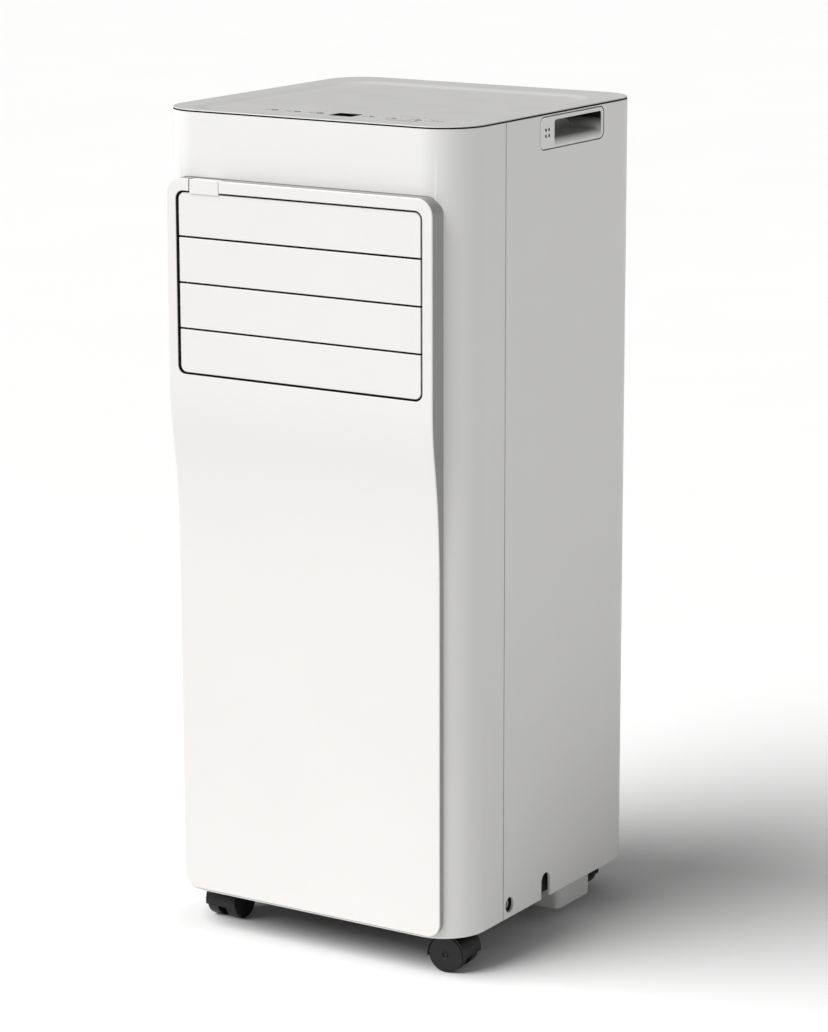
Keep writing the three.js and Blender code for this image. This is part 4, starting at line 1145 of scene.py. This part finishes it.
def make_intake_grille(name, body, rows, columns):
    low, high = corners(name)
    foot = low[2] + GRILLE_BORDER
    pitch = (high[2] - GRILLE_BORDER - foot) / rows
    width = (high[0] - low[0] - 2 * GRILLE_BORDER + GRILLE_POST) / columns
    holes = []
    for row in range(rows):
        for column in range(columns):
            u0 = low[0] + GRILLE_BORDER + width * column
            v0 = foot + pitch * row + pitch * 0.2
            slot = rounded_rect(u0, v0, u0 + width - GRILLE_POST, v0 + pitch * 0.6, pitch * 0.26, 3)
            holes.append(slot)
    bm = plate(bmesh.new(), "y", footprint("y", low, high, 0.8, 3), holes, low[1], high[1], 0.6, 0.7, 2)
    finish_piece(f"{name}_moulding", bm, "grille_grey", body, [name])


def make_drain_plug(name):
    low, high = corners(name)
    head, face, end = (high[0] - low[0]) / 2, REAR_Y + GAP, high[1]
    profile = [(5.4, low[1]), (6.2, low[1] + 0.8), (6.2, face), (head - 0.4, face), (head, face + 0.4),
               (head, end - 1.4), (head - 0.5, end - 0.6), (head - 1.4, end - 0.3),
               (head - 3.0, end - 0.3), (head - 3.4, end - 0.9), (3.4, end - 0.9), (2.9, end),
               (0.8, end)]
    bm = knob(bmesh.new(), "y", *middle_of(name), profile, 40)
    finish_piece(f"{name}_stopper", bm, "rubber_black", name, [name])


def make_cord_gland():
    low, high = corners("cord_gland")
    face, bore, end = REAR_Y + GAP, GLAND_BORE, high[1]
    flange = (high[0] - low[0]) / 2
    base = face + 2.7
    profile = [(bore, low[1]), (6.4, low[1]), (6.8, low[1] + 0.6), (6.8, face), (flange, face),
               (flange, face + 1.9), (flange - 0.8, base), (7.0, base)]
    for i in range(3):
        y = base + (end - base) * (i + 0.35) / 3
        taper = 0.4 * i
        profile += [(7.0 - taper, y - 0.5), (6.2 - taper, y), (6.2 - taper, y + 0.5),
                    (6.9 - taper, y + 0.9)]
    profile += [(5.8, end - 0.4), (5.4, end), (bore + 0.4, end), (bore, end - 0.4)]
    bm = ring_turned(bmesh.new(), "y", *middle_of("cord_gland"), profile, 40)
    finish_piece("cord_gland_sleeve", bm, "rubber_black", stands_for=["cord_gland"])


def cross_recess(bm, axis, u, v, outside, depth, size=1.9):
    """A screw with a cross sunk into its head."""
    tool = bmesh.new()
    for a, b in ((size, CROSS_HALF_WIDTH), (CROSS_HALF_WIDTH, size)):
        arm = rounded_rect(u - a, v - b, u + a, v + b, 0.2, 2)
        prism(tool, axis, arm, outside - depth, outside + depth)
    return combine(bm, tool)


def pan_head(inner, outer, radius, shank, height=2.6):
    """A screw's (radius, place) profile from its point to its domed head."""
    base = outer - height
    dome = [(radius - 1.2 * (1 - cos(t)), base + 1.0 + (height - 1.0) * sin(t))
            for t in (0, 0.5, 1.0, 1.4)]
    return [(shank * 0.5, inner), (shank, inner + 1.2), (shank, base), (radius, base)] + dome


def make_side_screw(name, side):
    low, high = corners(name)
    y, z = side_screw_spot()
    inner, outer = sorted((abs(low[0]), abs(high[0])))
    bm = knob(bmesh.new(), "x", y, z, pan_head(inner, outer, 4.2, 1.9), 32)
    bm = cross_recess(bm, "x", y, z, outer, 1.3)
    if side < 0:
        mirror_sides(bm)
    finish_piece(f"{name}_head", bm, "screw_steel", stands_for=[name])


def make_rear_screws():
    bm = bmesh.new()
    seat = REAR_Y - REAR_SCREW_SINK
    top = seat + 1.3
    for x, z in rear_screw_spots():
        screw = knob(bmesh.new(), "y", x, z, pan_head(seat - 0.2, top, 3.4, 1.9, 1.2), 28)
        screw = cross_recess(screw, "y", x, z, top, 0.9, 1.6)
        bmesh.ops.recalc_face_normals(screw, faces=screw.faces)
        mesh = bpy.data.meshes.new("screw")
        screw.to_mesh(mesh)
        screw.free()
        bm.from_mesh(mesh)
        bpy.data.meshes.remove(mesh)
    finish_piece("rear_shell_screws", bm, "screw_steel")


# ---------------- base pan

PAN_INSET = 6.0
PAN_SLOT_PITCH, PAN_SLOT_HALF, PAN_SLOT_FRONT = 24, 8, -94
SUMP = {"y0": 24.9, "y1": 80.2, "radius": 6.0}


def make_base_pan():
    low, high = corners("base_pan")
    floor_low, floor_high = LOW_Z + 2, LOW_Z + 5
    bm = prism(bmesh.new(), "z", body_outline(PAN_INSET, 8), floor_low, high[2], 1.0, 0.4)
    bm = cut(bm, "z", body_outline(PAN_INSET + WALL, 8), floor_high, high[2] + 5, 1.5)
    well = rounded_rect(low[0], SUMP["y0"], high[0], SUMP["y1"], SUMP["radius"], 6)
    bm = join(bm, "z", well, low[2], floor_high, 1.2)
    hollow = rounded_rect(low[0] + WALL, SUMP["y0"] + WALL, high[0] - WALL, SUMP["y1"] - WALL,
                          SUMP["radius"] - WALL, 6)
    bm = cut(bm, "z", hollow, low[2] + WALL, floor_high + 5)
    posts, bores = bmesh.new(), bmesh.new()
    for x, y in CASTER_SPOTS.values():
        prism(posts, "z", disc(x, y, 7.4, 24), floor_low, LOW_Z + 23)
        prism(bores, "z", disc(x, y, 4.3, 24), floor_low - 2, LOW_Z + 20)
    for side in (-1, 1):
        prism(posts, "x", disc(*side_screw_spot(), 4.5, 20), side * 128, side * (SIDE_X - PAN_INSET - 1))
        prism(bores, "x", disc(*side_screw_spot(), 2.2, 20), side * 120, side * 150)
    drain = middle_of("drain_plug_bottom")
    prism(posts, "y", disc(*drain, 8.8, 24), high[1] - 12, high[1])
    prism(bores, "y", disc(*drain, 7.3, 24), high[1] - 20, high[1] + 5)
    for i in range(-4, 5):
        x = i * PAN_SLOT_PITCH
        block(bores, x - PAN_SLOT_HALF, x + PAN_SLOT_HALF, PAN_SLOT_FRONT, SUMP["y0"] - 10,
              floor_low - 2, floor_low + 0.8, 0, 3)
    bm = combine(combine(bm, posts, "UNION"), bores)
    made = finish_piece("base_pan_moulding", bm, "tray_grey", stands_for=["base_pan"])

    # painted shade: black on the pan above its floor and on its underside, where the body shades it
    def pan_shade_faces(p, normal):
        return p.z > floor_low + 0.3 or normal.z < -0.5 and p.z > floor_low - 1
    finish_faces(made, "duct_black", pan_shade_faces)


def make_notch_screws():
    bm = bmesh.new()
    y, z = (NOTCH["y0"] + NOTCH["y1"]) / 2 - 2, LOW_Z + 7
    wall = SIDE_X - PAN_INSET
    for side in (-1, 1):
        profile = [(r, side * x) for r, x in pan_head(wall - 3, wall + 1.9, 2.6, 1.5, 1.9)]
        knob(bm, "x", y, z, profile, 24)
    finish_piece("notch_screws", bm, "screw_steel")


# ---------------- casters

WHEEL_RADIUS, WHEEL_INNER = 15.5, 4.0
HOOD_RADIUS, HOOD_BORE, HOOD_ENDS = 17.5, 15.9, (-7, 191)       # the ends in degrees round the axle
CASTER_HALF_WIDTH = 15.0
WEB_HALF = 3.6
TRAIL = 10.0                    # from the swivel axis to the axle
AXLE = TRAIL, WHEEL_RADIUS
CASTER_YAW = {"front_right": 4, "front_left": 90, "rear_right": 170, "rear_left": 205}


def find_caster_spots():
    """Each caster's swivel axis, from the record's joints."""
    found = {}
    for corner in CASTER_YAW:
        joint = next(j for j in frame["joints"] if j["name"] == f"caster_{corner}_swivel")
        found[corner] = joint["pos_m"][0] / MM, joint["pos_m"][1] / MM
    return found


def in_place(bm, corner):
    """Turns a solid drawn about a caster's swivel axis and sets it in its corner."""
    x, y = CASTER_SPOTS[corner]
    turn = Matrix.Translation((x, y, 0)) @ Matrix.Rotation(radians(CASTER_YAW[corner]), 4, "Z")
    bmesh.ops.transform(bm, matrix=turn, verts=bm.verts)
    return bm


def hood_outline(d=0.0):
    front, back = HOOD_ENDS[0] + 3 * d, HOOD_ENDS[1] - 3 * d
    return arc(*AXLE, HOOD_RADIUS - d, front, back, 32) + arc(*AXLE, HOOD_BORE + d, back, front, 32)


def caster_fork():
    half, bore = CASTER_HALF_WIDTH, disc(*AXLE, HOOD_BORE, 48)
    bm = prism(bmesh.new(), "y", hood_outline, -half, half, 0.4, 0.4)
    web = arc(*AXLE, HOOD_RADIUS - 0.6, HOOD_ENDS[0] + 2, HOOD_ENDS[1] - 2, 28)
    web += [(TRAIL - 9, WHEEL_RADIUS - 7.5), (TRAIL + 8, WHEEL_RADIUS - 8)]
    spine = loft(bmesh.new(), [at("y", web, -WEB_HALF + 0.1), at("y", web, WEB_HALF - 0.1)])
    bm = combine(bm, spine, "UNION")
    top = corners("caster_fork_front_right")[1][2]
    profile = [(9.5, WHEEL_RADIUS + 9.5), (9.5, 32.8), (8.9, 33.4), (7, 33.4), (7, 35.7), (4, 35.7),
               (4, top - 0.6), (3.4, top)]
    neck = knob(bmesh.new(), "z", 0, 0, profile)
    inside = bmesh.new()
    prism(inside, "y", bore, WEB_HALF, half + 5)
    prism(inside, "y", bore, -half - 5, -WEB_HALF)
    bm = combine(bm, combine(neck, inside), "UNION")
    return join(bm, "y", disc(*AXLE, 2.2, 20), 0.5 - half, half - 0.5, 0.3, 0.3)


def caster_wheel(side):
    radius, inner, outer = WHEEL_RADIUS, WHEEL_INNER, CASTER_HALF_WIDTH
    profile = [(2.5, inner), (radius - 0.6, inner), (radius - 0.15, inner + 0.2), (radius, inner + 0.7),
               (radius, outer - 1.3), (radius - 0.35, outer - 0.4), (radius - 1.2, outer - 0.02),
               (3.0, outer - 0.05), (2.5, outer - 0.4)]
    return ring_turned(bmesh.new(), "y", *AXLE, [(r, side * y) for r, y in profile], 64)


def make_casters():
    for corner in CASTER_SPOTS:
        body, fork = f"caster_{corner}", f"caster_fork_{corner}"
        hood = in_place(caster_fork(), corner)
        finish_piece(f"{fork}_hood", hood, "caster_black", body, [fork])
        for letter, side in (("a", -1), ("b", 1)):
            name = f"caster_wheel_{corner}_{letter}"
            wheel = in_place(caster_wheel(side), corner)
            finish_piece(f"{name}_disc", wheel, "caster_black", f"{body}_wheel_{letter}", [name])


# ---------------- inside parts kept from the CAD

def dress_kept_nodes():
    """Gives every CAD node that still shows the finish of its record slot."""
    for part in frame["record"]["subparts"]:
        kept = frame["nodes"][part["node"]]
        if not kept.hide_render:
            kept.data.materials.clear()
            kept.data.materials.append(finishes[part["material_slot"]])


finishes = make_finishes()
CASTER_SPOTS = find_caster_spots()

make_camera()
make_studio()
make_front_shell()
make_rear_shell()
make_front_panel()
for number in range(LOUVER_COUNT):
    make_louver(number)
make_louver_link()
make_top_cover()
make_keys()
make_display()
make_printed_marks()
make_handle("handle_right", 1)
make_handle("handle_left", -1)
make_exhaust_collar()
make_intake_grille("upper_intake_grille", "intake_filter", 26, 3)
make_intake_grille("lower_intake_grille", CABINET, 15, 3)
make_drain_plug("drain_plug_middle")
make_drain_plug("drain_plug_bottom")
make_cord_gland()
make_side_screw("side_screw_right", 1)
make_side_screw("side_screw_left", -1)
make_rear_screws()
make_base_pan()
make_notch_screws()
make_casters()
dress_kept_nodes()

bpy.context.view_layer.update()
